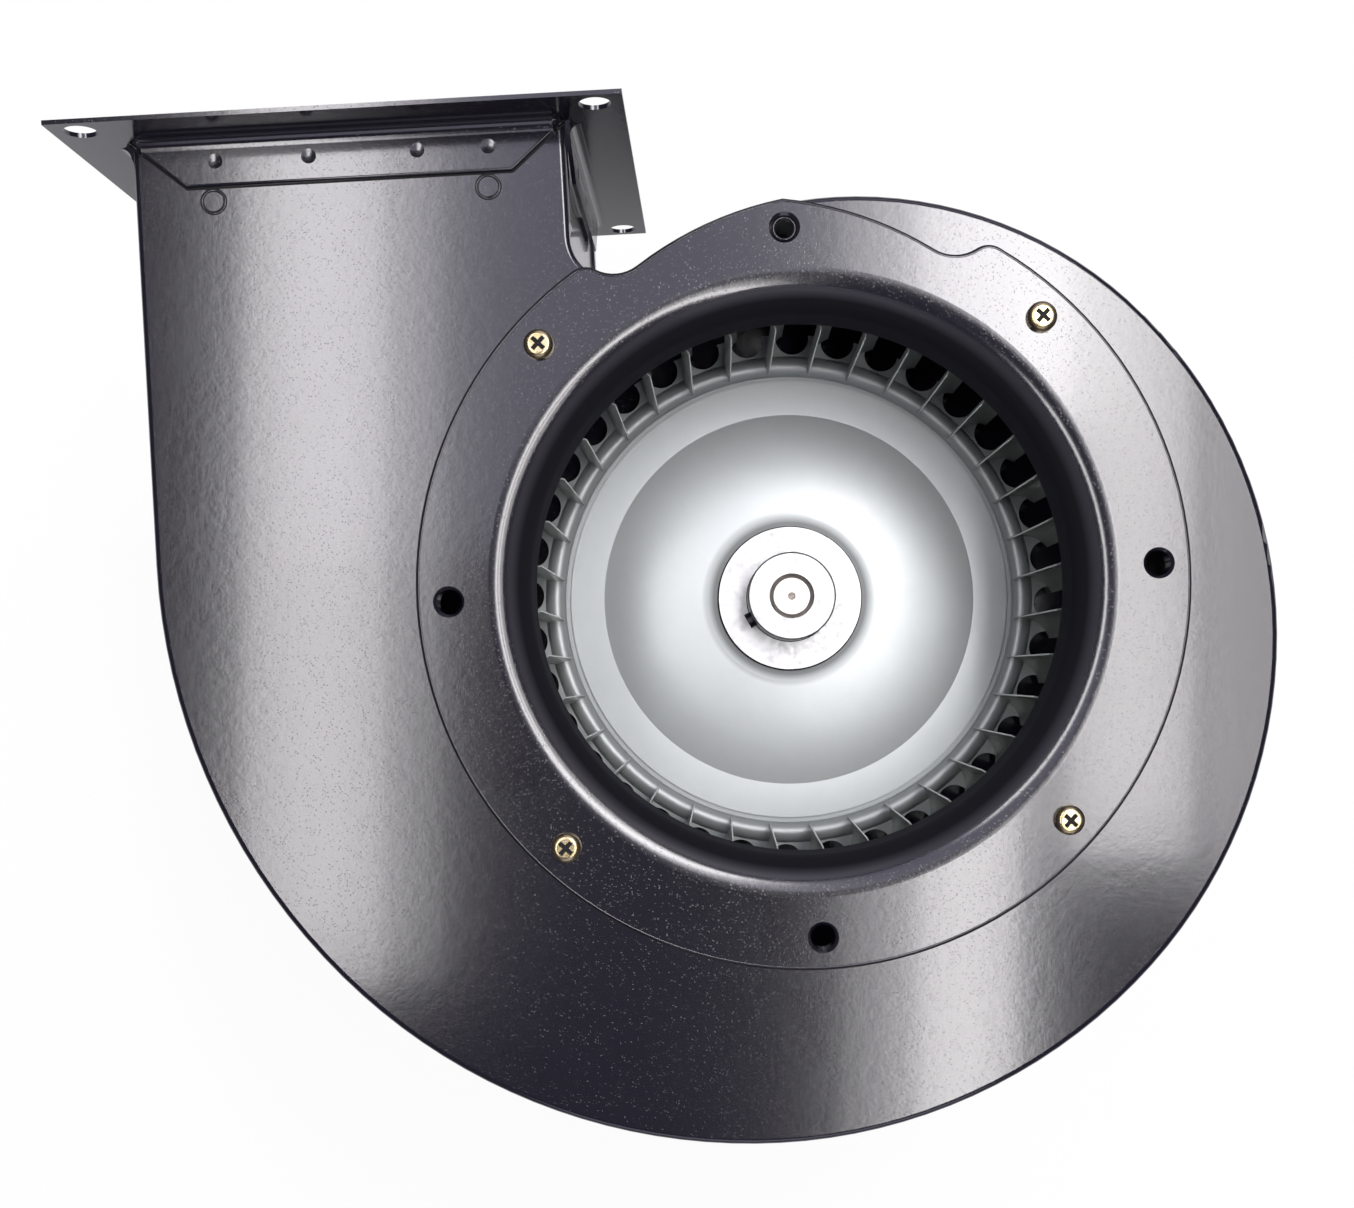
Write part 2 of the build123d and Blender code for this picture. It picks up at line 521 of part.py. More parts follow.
with BuildPart() as clinch_nuts:
    with BuildSketch(Plane.XY.offset(INNER_FRONT_Z - CLINCH_HEIGHT)):
        with PolarLocations(BOLT_CIRCLE_RADIUS, 4, start_angle=45):
            Circle(CLINCH_RADIUS)
            Circle(SCREW_RADIUS + NUT_CLEARANCE, mode=Mode.SUBTRACT)
    extrude(amount=CLINCH_HEIGHT)
clinch_nuts.part.label = "clinch_nuts"



def bead_ring():
    """Solid under the rolled bead of the back disc, from the disc's upper face to its crest."""
    with BuildPart() as ring:
        with BuildSketch(Plane.XZ):
            with BuildLine():
                ThreePointArc((GROOVE_OUTER, DISC_Z),
                              (GROOVE_OUTER + BEAD_WIDTH / 2, DISC_Z + BEAD_HEIGHT),
                              (GROOVE_OUTER + BEAD_WIDTH, DISC_Z))
                Line((GROOVE_OUTER + BEAD_WIDTH, DISC_Z), (GROOVE_OUTER, DISC_Z))
            make_face()
        revolve(axis=Axis.Z)
    return ring.part


# Impeller back disc: domed centre, flat ring, groove, rolled bead and scallops between the blades
with BuildPart() as impeller_disc:
    dome_middle = Vector((DISC_DOME_FLAT + DISC_CREASE) / 2, (HUB_SEAT_Z + DISC_Z) / 2 + DISC_DOME_SAG)
    with BuildSketch(Plane.XZ):
        with BuildLine():
            lower = -DISC_SHEET
            Line((HUB_SPIGOT_RADIUS, HUB_SEAT_Z), (DISC_DOME_FLAT, HUB_SEAT_Z))
            ThreePointArc((DISC_DOME_FLAT, HUB_SEAT_Z), dome_middle, (DISC_CREASE, DISC_Z))
            Polyline((DISC_CREASE, DISC_Z), (DISC_FLAT_OUTER, DISC_Z),
                     (DISC_FLAT_OUTER, DISC_Z - GROOVE_DEPTH), (GROOVE_OUTER, DISC_Z - GROOVE_DEPTH),
                     (GROOVE_OUTER, DISC_Z), (DISC_OUTER, DISC_Z), (DISC_OUTER, DISC_Z + lower),
                     (GROOVE_OUTER + DISC_SHEET, DISC_Z + lower),
                     (GROOVE_OUTER + DISC_SHEET, DISC_Z - GROOVE_DEPTH + lower),
                     (DISC_FLAT_OUTER - DISC_SHEET, DISC_Z - GROOVE_DEPTH + lower),
                     (DISC_FLAT_OUTER - DISC_SHEET, DISC_Z + lower), (DISC_CREASE, DISC_Z + lower))
            ThreePointArc((DISC_CREASE, DISC_Z + lower), dome_middle + Vector(0, lower),
                          (DISC_DOME_FLAT, HUB_SEAT_Z + lower))
            Polyline((DISC_DOME_FLAT, HUB_SEAT_Z + lower), (HUB_SPIGOT_RADIUS, HUB_SEAT_Z + lower),
                     (HUB_SPIGOT_RADIUS, HUB_SEAT_Z))
        make_face()
    revolve(axis=Axis.Z)
    add(bead_ring())
    with BuildSketch(Plane.XY.offset(DISC_Z)):
        with PolarLocations(IMPELLER_RADIUS - SCALLOP_DEPTH + SCALLOP_RADIUS, BLADE_COUNT,
                            start_angle=BLADE_START + SCALLOP_AHEAD):
            Circle(SCALLOP_RADIUS)
    extrude(amount=-2 * DISC_SHEET, mode=Mode.SUBTRACT)
impeller_disc.part.label = "impeller_disc"


def blade_face():
    """Section of one forward-curved blade; it bends clockwise, the way the impeller turns."""
    ahead = math.radians(-BLADE_AHEAD)
    inner = Vector(BLADE_INNER_RADIUS + BLADE_SHEET / 2, 0)
    outer = Vector(BLADE_OUTER_RADIUS * math.cos(ahead), BLADE_OUTER_RADIUS * math.sin(ahead))
    chord = outer - inner
    arc_radius = (chord.length ** 2 / 4 + BLADE_SAG ** 2) / (2 * BLADE_SAG)
    across = Vector(-chord.Y, chord.X) / chord.length
    centre = inner + chord / 2 - across * (arc_radius - BLADE_SAG)
    start = math.degrees(math.atan2(inner.Y - centre.Y, inner.X - centre.X))
    end = math.degrees(math.atan2(outer.Y - centre.Y, outer.X - centre.X))
    with BuildSketch() as section:
        with BuildLine():
            back = CenterArc(centre, arc_radius + BLADE_SHEET / 2, start, end - start)
            hollow = CenterArc(centre, arc_radius - BLADE_SHEET / 2, start, end - start)
            Line(back @ 0, hollow @ 0)
            Line(back @ 1, hollow @ 1)
        make_face()
    return section.sketch


# Impeller blades, between the back disc and the front ring, notched over the bead
with BuildPart() as impeller_blades:
    with BuildSketch(Plane.XY.offset(DISC_Z)):
        with PolarLocations(0, BLADE_COUNT, start_angle=BLADE_START):
            add(blade_face())
    extrude(amount=BLADE_TOP_Z - DISC_Z)
    add(bead_ring(), mode=Mode.SUBTRACT)
impeller_blades.part.label = "impeller_blades"

# Impeller front ring: annulus with a turned lip over the blades' outer edges
with BuildPart() as impeller_front_ring:
    with BuildSketch(Plane.XZ):
        with BuildLine():
            ring_inner_radius = IMPELLER_RADIUS - FRONT_RING_WIDTH
            Polyline((ring_inner_radius, BLADE_TOP_Z), (ring_inner_radius, FRONT_RING_Z),
                     (IMPELLER_RADIUS, FRONT_RING_Z), (IMPELLER_RADIUS, FRONT_RING_Z - IMPELLER_LIP),
                     (IMPELLER_RADIUS - DISC_SHEET, FRONT_RING_Z - IMPELLER_LIP),
                     (IMPELLER_RADIUS - DISC_SHEET, BLADE_TOP_Z), close=True)
        make_face()
    revolve(axis=Axis.Z)
impeller_front_ring.part.label = "impeller_front_ring"

# Impeller hub: sleeve with a flange, a spigot through the back disc and a tapped cross hole
SET_SCREW_PLANE = Plane((0, 0, SET_SCREW_Z), (0, 0, 1),
                        (math.cos(math.radians(SET_SCREW_ANGLE)),
                         math.sin(math.radians(SET_SCREW_ANGLE)), 0))
with BuildPart() as impeller_hub:
    with BuildSketch(Plane.XY.offset(HUB_SEAT_Z - HUB_SPIGOT_LENGTH)):
        Circle(HUB_SPIGOT_RADIUS)
    extrude(amount=HUB_SPIGOT_LENGTH)
    with BuildSketch(Plane.XY.offset(HUB_SEAT_Z)):
        Circle(HUB_FLANGE_RADIUS)
    extrude(amount=HUB_FLANGE_THICKNESS)
    with BuildSketch(Plane.XY.offset(HUB_FLANGE_TOP)):
        Circle(HUB_SLEEVE_RADIUS)
    extrude(amount=HUB_SLEEVE_LENGTH)
    chamfer(impeller_hub.edges().filter_by(GeomType.CIRCLE).sort_by(Axis.Z)[-1], HUB_CHAMFER)
    with BuildSketch(Plane.XY.offset(HUB_SEAT_Z - HUB_SPIGOT_LENGTH)):
        Circle(SHAFT_RADIUS + SHAFT_FIT)
    extrude(amount=HUB_END_Z - HUB_SEAT_Z + HUB_SPIGOT_LENGTH, mode=Mode.SUBTRACT)
    with BuildSketch(SET_SCREW_PLANE):
        Circle(SET_SCREW_RADIUS + SET_SCREW_FIT)
    extrude(amount=HUB_SLEEVE_RADIUS + 1, mode=Mode.SUBTRACT)
impeller_hub.part.label = "impeller_hub"

with BuildPart() as hub_set_screw:
    seat = SHAFT_RADIUS - SHAFT_FLAT
    with BuildSketch(SET_SCREW_PLANE.offset(seat)):
        Circle(SET_SCREW_RADIUS)
    extrude(amount=HUB_SLEEVE_RADIUS + SET_SCREW_PROUD - seat)
    with BuildSketch(SET_SCREW_PLANE.offset(HUB_SLEEVE_RADIUS + SET_SCREW_PROUD)):
        RegularPolygon(SET_SCREW_SOCKET, 6)
    extrude(amount=-2 * SET_SCREW_SOCKET, mode=Mode.SUBTRACT)
hub_set_screw.part.label = "hub_set_screw"

# Motor shaft: steps for the fan, both bearings and the rotor, with a flat under the set screw
with BuildPart() as shaft:
    steps = (
        (FAN_Z - SHAFT_TAIL, FAN_SEAT_RADIUS),
        (REAR_BEARING_Z, BEARING_BORE),
        (REAR_BEARING_Z + BEARING_WIDTH, ROTOR_SHAFT_RADIUS),
        (FRONT_BEARING_Z, BEARING_BORE),
        (FRONT_BEARING_Z + BEARING_WIDTH, SHAFT_RADIUS),
        (SHAFT_END_Z, SHAFT_RADIUS),
    )
    for (low, radius), (high, _) in zip(steps[:-1], steps[1:]):
        with BuildSketch(Plane.XY.offset(low)):
            Circle(radius)
        extrude(amount=high - low)
    ends = shaft.edges().filter_by(GeomType.CIRCLE).sort_by(Axis.Z)
    chamfer((ends[0], ends[-1]), SHAFT_CHAMFER)
    with Locations((0, 0, SHAFT_END_Z)):
        Cone(CENTRE_MARK / 20, CENTRE_MARK, CENTRE_MARK,
             align=(Align.CENTER, Align.CENTER, Align.MAX), mode=Mode.SUBTRACT)
    flat_plane = Plane((0, 0, HUB_SEAT_Z), SET_SCREW_PLANE.z_dir, (0, 0, 1))
    with BuildSketch(flat_plane):
        with Locations((1.5 * SHAFT_RADIUS - SHAFT_FLAT, 0)):
            Rectangle(SHAFT_RADIUS, 2 * SHAFT_RADIUS)
    extrude(amount=HUB_END_Z - HUB_SEAT_Z, mode=Mode.SUBTRACT)
shaft.part.label = "shaft"


def ring_part(low, high, inner, outer):
    """Plain ring about the shaft between two heights."""
    with BuildPart() as ring:
        with BuildSketch(Plane.XY.offset(low)):
            Circle(outer)
            Circle(inner, mode=Mode.SUBTRACT)
        extrude(amount=high - low)
    return ring.part


def bearing_outer_ring(low):
    """Outer ring of a sealed ball bearing with its two seals."""
    high = low + BEARING_WIDTH
    groove = BEARING_OUTER - BEARING_OUTER_WALL
    seal = BEARING_BORE + BEARING_INNER_WALL + SEAL_CLEARANCE
    with BuildPart() as ring:
        add(ring_part(low, high, groove, BEARING_OUTER))
        add(ring_part(low + SEAL_INSET, low + SEAL_INSET + SEAL_THICKNESS, seal, groove))
        add(ring_part(high - SEAL_INSET - SEAL_THICKNESS, high - SEAL_INSET, seal, groove))
    return ring.part


# Ball bearings, each as an outer ring with seals and an inner ring
with BuildPart() as front_bearing_outer:
    add(bearing_outer_ring(FRONT_BEARING_Z))
front_bearing_outer.part.label = "front_bearing_outer"

with BuildPart() as front_bearing_inner:
    add(ring_part(FRONT_BEARING_Z, FRONT_BEARING_Z + BEARING_WIDTH,
                  BEARING_BORE, BEARING_BORE + BEARING_INNER_WALL))
front_bearing_inner.part.label = "front_bearing_inner"

with BuildPart() as rear_bearing_outer:
    add(bearing_outer_ring(REAR_BEARING_Z))
rear_bearing_outer.part.label = "rear_bearing_outer"

with BuildPart() as rear_bearing_inner:
    add(ring_part(REAR_BEARING_Z, REAR_BEARING_Z + BEARING_WIDTH,
                  BEARING_BORE, BEARING_BORE + BEARING_INNER_WALL))
rear_bearing_inner.part.label = "rear_bearing_inner"

with BuildPart() as wave_washer:
    add(ring_part(REAR_BEARING_Z - WAVE_WASHER, REAR_BEARING_Z,
                  BEARING_OUTER - BEARING_OUTER_WALL, BEARING_OUTER - HOLE_FIT))
wave_washer.part.label = "wave_washer"

# Rotor core and its cast end rings
with BuildPart() as rotor_core:
    add(ring_part(STACK_Z, STACK_TOP, ROTOR_SHAFT_RADIUS, ROTOR_RADIUS))
rotor_core.part.label = "rotor_core"

with BuildPart() as rotor_end_rings:
    ring_outer = ROTOR_RADIUS - AIR_GAP
    ring_inner = ring_outer - ROTOR_RING
    add(ring_part(STACK_Z - ROTOR_RING_HEIGHT, STACK_Z, ring_inner, ring_outer))
    add(ring_part(STACK_TOP, STACK_TOP + ROTOR_RING_HEIGHT, ring_inner, ring_outer))
rotor_end_rings.part.label = "rotor_end_rings"

# Stator core with its slots, and the end turns of the windings
with BuildPart() as stator_core:
    slot_bottom = STATOR_RADIUS - STATOR_YOKE
    with BuildSketch(Plane.XY.offset(STACK_Z)):
        Circle(STATOR_RADIUS)
        Circle(STATOR_BORE, mode=Mode.SUBTRACT)
        with PolarLocations((STATOR_BORE + slot_bottom) / 2, STATOR_SLOTS):
            Rectangle(slot_bottom - STATOR_BORE + 1, SLOT_MOUTH, mode=Mode.SUBTRACT)
    extrude(amount=STACK_LENGTH)
stator_core.part.label = "stator_core"

with BuildPart() as stator_windings:
    for low in (STACK_Z - WINDING_HEIGHT, STACK_TOP):
        coil = ring_part(low, low + WINDING_HEIGHT,
                         STATOR_BORE + WINDING_INSET, STATOR_RADIUS - WINDING_INSET)
        far = Axis.Z if low == STACK_TOP else -Axis.Z
        add(coil)
        outside = stator_windings.edges().filter_by(GeomType.CIRCLE).sort_by(far)[-2:]
        fillet(outside, WINDING_ROUND)
stator_windings.part.label = "stator_windings"

# Finned motor frame with a pad for the terminal box
with BuildPart() as motor_frame:
    with BuildSketch(Plane.XY.offset(FRAME_BOTTOM)):
        Circle(FRAME_WALL_RADIUS)
        with PolarLocations(FRAME_WALL_RADIUS, FIN_COUNT, start_angle=180 / FIN_COUNT):
            Rectangle(2 * (MOTOR_RADIUS - FRAME_WALL_RADIUS), FIN_WIDTH)
        Circle(STATOR_RADIUS, mode=Mode.SUBTRACT)
    extrude(amount=FRAME_TOP - FRAME_BOTTOM)
    with Locations((BOX_X, 0, BOX_Z)):
        Box(BOX_X - STATOR_RADIUS / 2, PAD_WIDTH, PAD_HEIGHT,
            align=(Align.MAX, Align.CENTER, Align.CENTER))
    with BuildSketch(Plane.XY.offset(FRAME_BOTTOM)):
        Circle(STATOR_RADIUS)
    extrude(amount=FRAME_TOP - FRAME_BOTTOM, mode=Mode.SUBTRACT)
    with Locations((FRAME_WALL_RADIUS, 0, BOX_Z)):
        Cylinder(WIRE_HOLE, STATOR_RADIUS, rotation=(0, 90, 0), mode=Mode.SUBTRACT)
motor_frame.part.label = "motor_frame"

# Front end shield, bolted to the rear plate from inside the volute
with BuildPart() as motor_front_shield:
    with BuildSketch(Plane.XY.offset(FRAME_TOP)):
        Circle(MOTOR_RADIUS)
    extrude(amount=FRONT_SHIELD)
    fillet(motor_front_shield.edges().filter_by(GeomType.CIRCLE), SHIELD_EDGE)
    with BuildSketch(Plane.XY.offset(BACK_Z)):
        Circle(SPIGOT_RADIUS - FRAME_FIT)
    extrude(amount=SHEET)
    with BuildSketch(Plane.XY.offset(FRAME_TOP - SHIELD_SPIGOT)):
        Circle(STATOR_RADIUS - FRAME_FIT)
        Circle(STATOR_RADIUS - SHIELD_SPIGOT_WALL, mode=Mode.SUBTRACT)
    extrude(amount=SHIELD_SPIGOT)
    with BuildSketch(Plane.XY.offset(FRONT_BEARING_Z)):
        Circle(BEARING_OUTER + SEAT_WALL)
    extrude(amount=FRAME_TOP - FRONT_BEARING_Z)
    with BuildSketch(Plane.XY.offset(FRONT_BEARING_Z)):
        Circle(BEARING_OUTER)
    extrude(amount=BEARING_WIDTH, mode=Mode.SUBTRACT)
    with BuildSketch(Plane.XY.offset(FRONT_BEARING_Z)):
        Circle(SHAFT_RADIUS + SEAL_LIP)
    extrude(amount=INNER_BACK_Z - FRONT_BEARING_Z, mode=Mode.SUBTRACT)
    with BuildSketch(Plane.XY.offset(BACK_Z - MOTOR_BOLT_REACH - 1)):
        with PolarLocations(MOTOR_BOLT_CIRCLE_RADIUS, 4, start_angle=45):
            Circle(MOTOR_BOLT_RADIUS + BOLT_FIT)
    extrude(amount=MOTOR_BOLT_REACH + 1, mode=Mode.SUBTRACT)
    with BuildSketch(Plane.XY.offset(FRAME_TOP)):
        with PolarLocations(TIE_BOLT_CIRCLE, 4, start_angle=45):
            Circle(TIE_BOLT_RADIUS + BOLT_FIT)
    extrude(amount=TIE_BOLT_REACH + 1, mode=Mode.SUBTRACT)
motor_front_shield.part.label = "motor_front_shield"

# Rear end shield, with the seat of the rear bearing and the holes of the tie bolts
with BuildPart() as motor_rear_shield:
    with BuildSketch(Plane.XY.offset(REAR_SHIELD_Z)):
        Circle(MOTOR_RADIUS)
    extrude(amount=REAR_SHIELD)
    with BuildSketch(Plane.XY.offset(FRAME_BOTTOM)):
        Circle(STATOR_RADIUS - FRAME_FIT)
        Circle(STATOR_RADIUS - SHIELD_SPIGOT_WALL, mode=Mode.SUBTRACT)
    extrude(amount=SHIELD_SPIGOT)
    with BuildSketch(Plane.XY.offset(REAR_SHIELD_Z + SHIELD_FLOOR)):
        Circle(STATOR_RADIUS - SHIELD_RIM)
        Circle(BEARING_OUTER + SEAT_WALL, mode=Mode.SUBTRACT)
    extrude(amount=REAR_SHIELD, mode=Mode.SUBTRACT)
    with BuildSketch(Plane.XY.offset(REAR_BEARING_Z - WAVE_WASHER)):
        Circle(BEARING_OUTER)
    extrude(amount=REAR_SHIELD, mode=Mode.SUBTRACT)
    with BuildSketch(Plane.XY.offset(REAR_SHIELD_Z)):
        Circle(FAN_SEAT_RADIUS + SEAL_LIP)
        with PolarLocations(TIE_BOLT_CIRCLE, 4, start_angle=45):
            Circle(TIE_BOLT_RADIUS + BOLT_FIT)
    extrude(amount=REAR_SHIELD, mode=Mode.SUBTRACT)
    with PolarLocations(0, 4, start_angle=COVER_SCREW_ANGLE):
        with Locations(Location((MOTOR_RADIUS, 0, COVER_SCREW_Z), (0, 90, 0))):
            Cylinder(COVER_SCREW_RADIUS + BOLT_FIT, 2 * COVER_SCREW_REACH + 2,
                     mode=Mode.SUBTRACT)
motor_rear_shield.part.label = "motor_rear_shield"

# Long bolts that pull both end shields onto the frame
with BuildPart() as tie_bolts:
    with BuildSketch(Plane.XY.offset(REAR_SHIELD_Z)):
        with PolarLocations(TIE_BOLT_CIRCLE, 4, start_angle=45):
            Circle(TIE_BOLT_RADIUS)
    extrude(amount=FRAME_TOP - REAR_SHIELD_Z + TIE_BOLT_REACH)
    with BuildSketch(Plane.XY.offset(REAR_SHIELD_Z)):
        with PolarLocations(MOTOR_RADIUS - TIE_BOLT_FLATS / 2 - HOLE_FIT, 4, start_angle=45):
            RegularPolygon(TIE_BOLT_FLATS / 2, 6, major_radius=False, rotation=30)
    extrude(amount=-TIE_BOLT_HEAD)
tie_bolts.part.label = "tie_bolts"

# Bolts and washers from the rear plate into the front shield
with BuildPart() as motor_bolt_washers:
    with BuildSketch(Plane.XY.offset(INNER_BACK_Z)):
        with PolarLocations(MOTOR_BOLT_CIRCLE_RADIUS, 4, start_angle=45):
            Circle(WASHER_RADIUS)
            Circle(MOTOR_BOLT_RADIUS + HOLE_FIT, mode=Mode.SUBTRACT)
    extrude(amount=WASHER_THICKNESS)
motor_bolt_washers.part.label = "motor_bolt_washers"

with BuildPart() as motor_bolts:
    with BuildSketch(Plane.XY.offset(INNER_BACK_Z + WASHER_THICKNESS)):
        with PolarLocations(MOTOR_BOLT_CIRCLE_RADIUS, 4, start_angle=45):
            RegularPolygon(MOTOR_BOLT_FLATS / 2, 6, major_radius=False)
    extrude(amount=MOTOR_BOLT_HEAD)
    with BuildSketch(Plane.XY.offset(INNER_BACK_Z + WASHER_THICKNESS)):
        with PolarLocations(MOTOR_BOLT_CIRCLE_RADIUS, 4, start_angle=45):
            Circle(MOTOR_BOLT_RADIUS)
    extrude(amount=-(MOTOR_BOLT_REACH + SHEET + WASHER_THICKNESS))
motor_bolts.part.label = "motor_bolts"

# Cooling fan on the rear end of the shaft, held by a retaining ring
with BuildPart() as cooling_fan:
    with BuildSketch(Plane.XY.offset(FAN_Z)):
        Circle(FAN_HUB_RADIUS)
        with PolarLocations((FAN_HUB_RADIUS + FAN_RADIUS) / 2 - 0.5, FAN_BLADES):
            Rectangle(FAN_RADIUS - FAN_HUB_RADIUS + 1, FAN_BLADE)
    extrude(amount=FAN_HEIGHT)
    with BuildSketch(Plane.XY.offset(FAN_Z + FAN_HEIGHT)):
        Circle(FAN_RADIUS)
    extrude(amount=-FAN_DISC)
    with BuildSketch(Plane.XY.offset(FAN_Z)):
        Circle(FAN_SEAT_RADIUS)
    extrude(amount=FAN_HEIGHT, mode=Mode.SUBTRACT)
cooling_fan.part.label = "cooling_fan"

with BuildPart() as fan_ring:
    add(ring_part(FAN_Z - FAN_RING, FAN_Z, FAN_SEAT_RADIUS, FAN_SEAT_RADIUS + FAN_RING_WIDTH))
fan_ring.part.label = "fan_ring"

# Fan cover: deep-drawn cap with radial air slots, open towards the motor
with BuildPart() as fan_cover:
    inner_radius = COVER_RADIUS - COVER_SHEET
    with BuildSketch(Plane.XZ):
        with BuildLine():
            corner = (COVER_RADIUS - COVER_CORNER, COVER_CORNER)
            Line((0, COVER_SHEET), (0, 0))
            Line((0, 0), (corner[0], 0))
            CenterArc(corner, COVER_CORNER, -90, 90)
            Polyline((COVER_RADIUS, COVER_CORNER), (COVER_RADIUS, COVER_TOP),
                     (inner_radius, COVER_TOP), (inner_radius, COVER_CORNER))
            CenterArc(corner, COVER_CORNER - COVER_SHEET, -90, 90)
            Line((corner[0], COVER_SHEET), (0, COVER_SHEET))
        make_face()
    revolve(axis=Axis.Z)
    with BuildSketch(Plane.XY):
        with PolarLocations((SLOT_INNER + SLOT_OUTER) / 2, SLOT_COUNT):
            SlotOverall(SLOT_OUTER - SLOT_INNER, SLOT_WIDTH)
    extrude(amount=COVER_SHEET, mode=Mode.SUBTRACT)
    with PolarLocations(0, 4, start_angle=COVER_SCREW_ANGLE):
        with Locations(Location((COVER_RADIUS, 0, COVER_SCREW_Z), (0, 90, 0))):
            Cylinder(COVER_SCREW_RADIUS + HOLE_FIT, COVER_RADIUS / 10, mode=Mode.SUBTRACT)
fan_cover.part.label = "fan_cover"

with BuildPart() as fan_cover_screws:
    with PolarLocations(0, 4, start_angle=COVER_SCREW_ANGLE):
        with Locations(Location((COVER_RADIUS, 0, COVER_SCREW_Z), (0, 90, 0))):
            add(pan_head_screw(COVER_SCREW_RADIUS, SMALL_HEAD_RADIUS, SMALL_HEAD_HEIGHT,
                               COVER_SCREW_REACH))
fan_cover_screws.part.label = "fan_cover_screws"

# Terminal box: open tray on the frame's pad, with screw bosses in its corners
BOX_RIM_X = BOX_X + BOX_DEPTH
LID_X = BOX_RIM_X + GASKET
LID_SCREW_Y = BOX_WIDTH / 2 - LID_SCREW_INSET
LID_SCREW_Z = BOX_HEIGHT / 2 - LID_SCREW_INSET
GLAND_X = BOX_X + BOX_DEPTH / 2 + 1
GLAND_SEAT_Z = BOX_Z - BOX_HEIGHT / 2


def box_plane(x):
    """Plane across the terminal box at one distance from the shaft: local x is Y, local y is Z."""
    return Plane((x, 0, BOX_Z), (0, 1, 0), (1, 0, 0))


with BuildPart() as terminal_box:
    with BuildSketch(box_plane(BOX_X)):
        RectangleRounded(BOX_WIDTH, BOX_HEIGHT, BOX_CORNER)
    extrude(amount=BOX_DEPTH)
    with BuildSketch(box_plane(BOX_X + BOX_WALL)):
        RectangleRounded(BOX_WIDTH - 2 * BOX_WALL, BOX_HEIGHT - 2 * BOX_WALL, BOX_CORNER - BOX_WALL)
        with GridLocations(2 * LID_SCREW_Y, 2 * LID_SCREW_Z, 2, 2):
            Circle(LID_SCREW_BOSS, mode=Mode.SUBTRACT)
    extrude(amount=BOX_DEPTH, mode=Mode.SUBTRACT)
    with BuildSketch(box_plane(BOX_RIM_X - LID_SCREW_REACH - 2)):
        with GridLocations(2 * LID_SCREW_Y, 2 * LID_SCREW_Z, 2, 2):
            Circle(LID_SCREW_RADIUS + BOLT_FIT)
    extrude(amount=LID_SCREW_REACH + 2, mode=Mode.SUBTRACT)
    with BuildSketch(box_plane(BOX_X)):
        Circle(WIRE_HOLE)
    extrude(amount=BOX_WALL, mode=Mode.SUBTRACT)
    with Locations((GLAND_X, 0, GLAND_SEAT_Z)):
        Cylinder(GLAND_THREAD_RADIUS + BOLT_FIT, 4 * BOX_WALL, mode=Mode.SUBTRACT)
terminal_box.part.label = "terminal_box"

with BuildPart() as lid_gasket:
    with BuildSketch(box_plane(BOX_RIM_X)):
        RectangleRounded(BOX_WIDTH - 1, BOX_HEIGHT - 1, BOX_CORNER - 0.5)
        RectangleRounded(BOX_WIDTH - 2 * BOX_WALL - 1, BOX_HEIGHT - 2 * BOX_WALL - 1,
                         BOX_CORNER - BOX_WALL, mode=Mode.SUBTRACT)
        with GridLocations(2 * LID_SCREW_Y, 2 * LID_SCREW_Z, 2, 2):
            Circle(LID_SCREW_BOSS)
            Circle(LID_SCREW_RADIUS + HOLE_FIT, mode=Mode.SUBTRACT)
    extrude(amount=GASKET)
lid_gasket.part.label = "lid_gasket"

with BuildPart() as terminal_lid:
    with BuildSketch(box_plane(LID_X)):
        RectangleRounded(BOX_WIDTH, BOX_HEIGHT, BOX_CORNER)
    extrude(amount=LID_DEPTH)
    fillet(terminal_lid.faces().sort_by(Axis.X)[-1].edges(), LID_ROUND)
    with BuildSketch(box_plane(LID_X)):
        RectangleRounded(BOX_WIDTH - 2 * BOX_WALL, BOX_HEIGHT - 2 * BOX_WALL, BOX_CORNER - BOX_WALL)
        with GridLocations(2 * LID_SCREW_Y, 2 * LID_SCREW_Z, 2, 2):
            Circle(LID_SCREW_BOSS, mode=Mode.SUBTRACT)
    extrude(amount=LID_DEPTH - BOX_WALL, mode=Mode.SUBTRACT)
    with BuildSketch(box_plane(LID_X)):
        with GridLocations(2 * LID_SCREW_Y, 2 * LID_SCREW_Z, 2, 2):
            Circle(LID_SCREW_RADIUS + HOLE_FIT)
    extrude(amount=LID_DEPTH, mode=Mode.SUBTRACT)
terminal_lid.part.label = "terminal_lid"

with BuildPart() as lid_screws:
    with Locations(box_plane(LID_X + LID_DEPTH)):
        with GridLocations(2 * LID_SCREW_Y, 2 * LID_SCREW_Z, 2, 2):
            add(pan_head_screw(LID_SCREW_RADIUS, SMALL_HEAD_RADIUS, SMALL_HEAD_HEIGHT,
                               LID_DEPTH + GASKET + LID_SCREW_REACH))
lid_screws.part.label = "lid_screws"

# Run capacitor and terminal block side by side on the floor of the box
FLOOR_X = BOX_X + BOX_WALL
CAPACITOR_Y = -(BOX_WIDTH / 2 - BOX_WALL - INSIDE_GAP - CAPACITOR_RADIUS)
TERMINAL_Y = CAPACITOR_Y + CAPACITOR_RADIUS + INSIDE_GAP + TERMINAL_WIDTH / 2
with BuildPart() as terminal_block:
    with Locations((FLOOR_X, TERMINAL_Y, BOX_Z + TERMINAL_CELL)):
        Box(TERMINAL_DEPTH, TERMINAL_WIDTH, TERMINAL_LENGTH,
            align=(Align.MIN, Align.CENTER, Align.CENTER))
    for step in (-1, 0, 1):
        with Locations((FLOOR_X + TERMINAL_DEPTH, TERMINAL_Y, BOX_Z + (1 + step) * TERMINAL_CELL)):
            Box(TERMINAL_DEPTH / 2, TERMINAL_WIDTH * 0.7, TERMINAL_CELL * 0.6, mode=Mode.SUBTRACT)
terminal_block.part.label = "terminal_block"

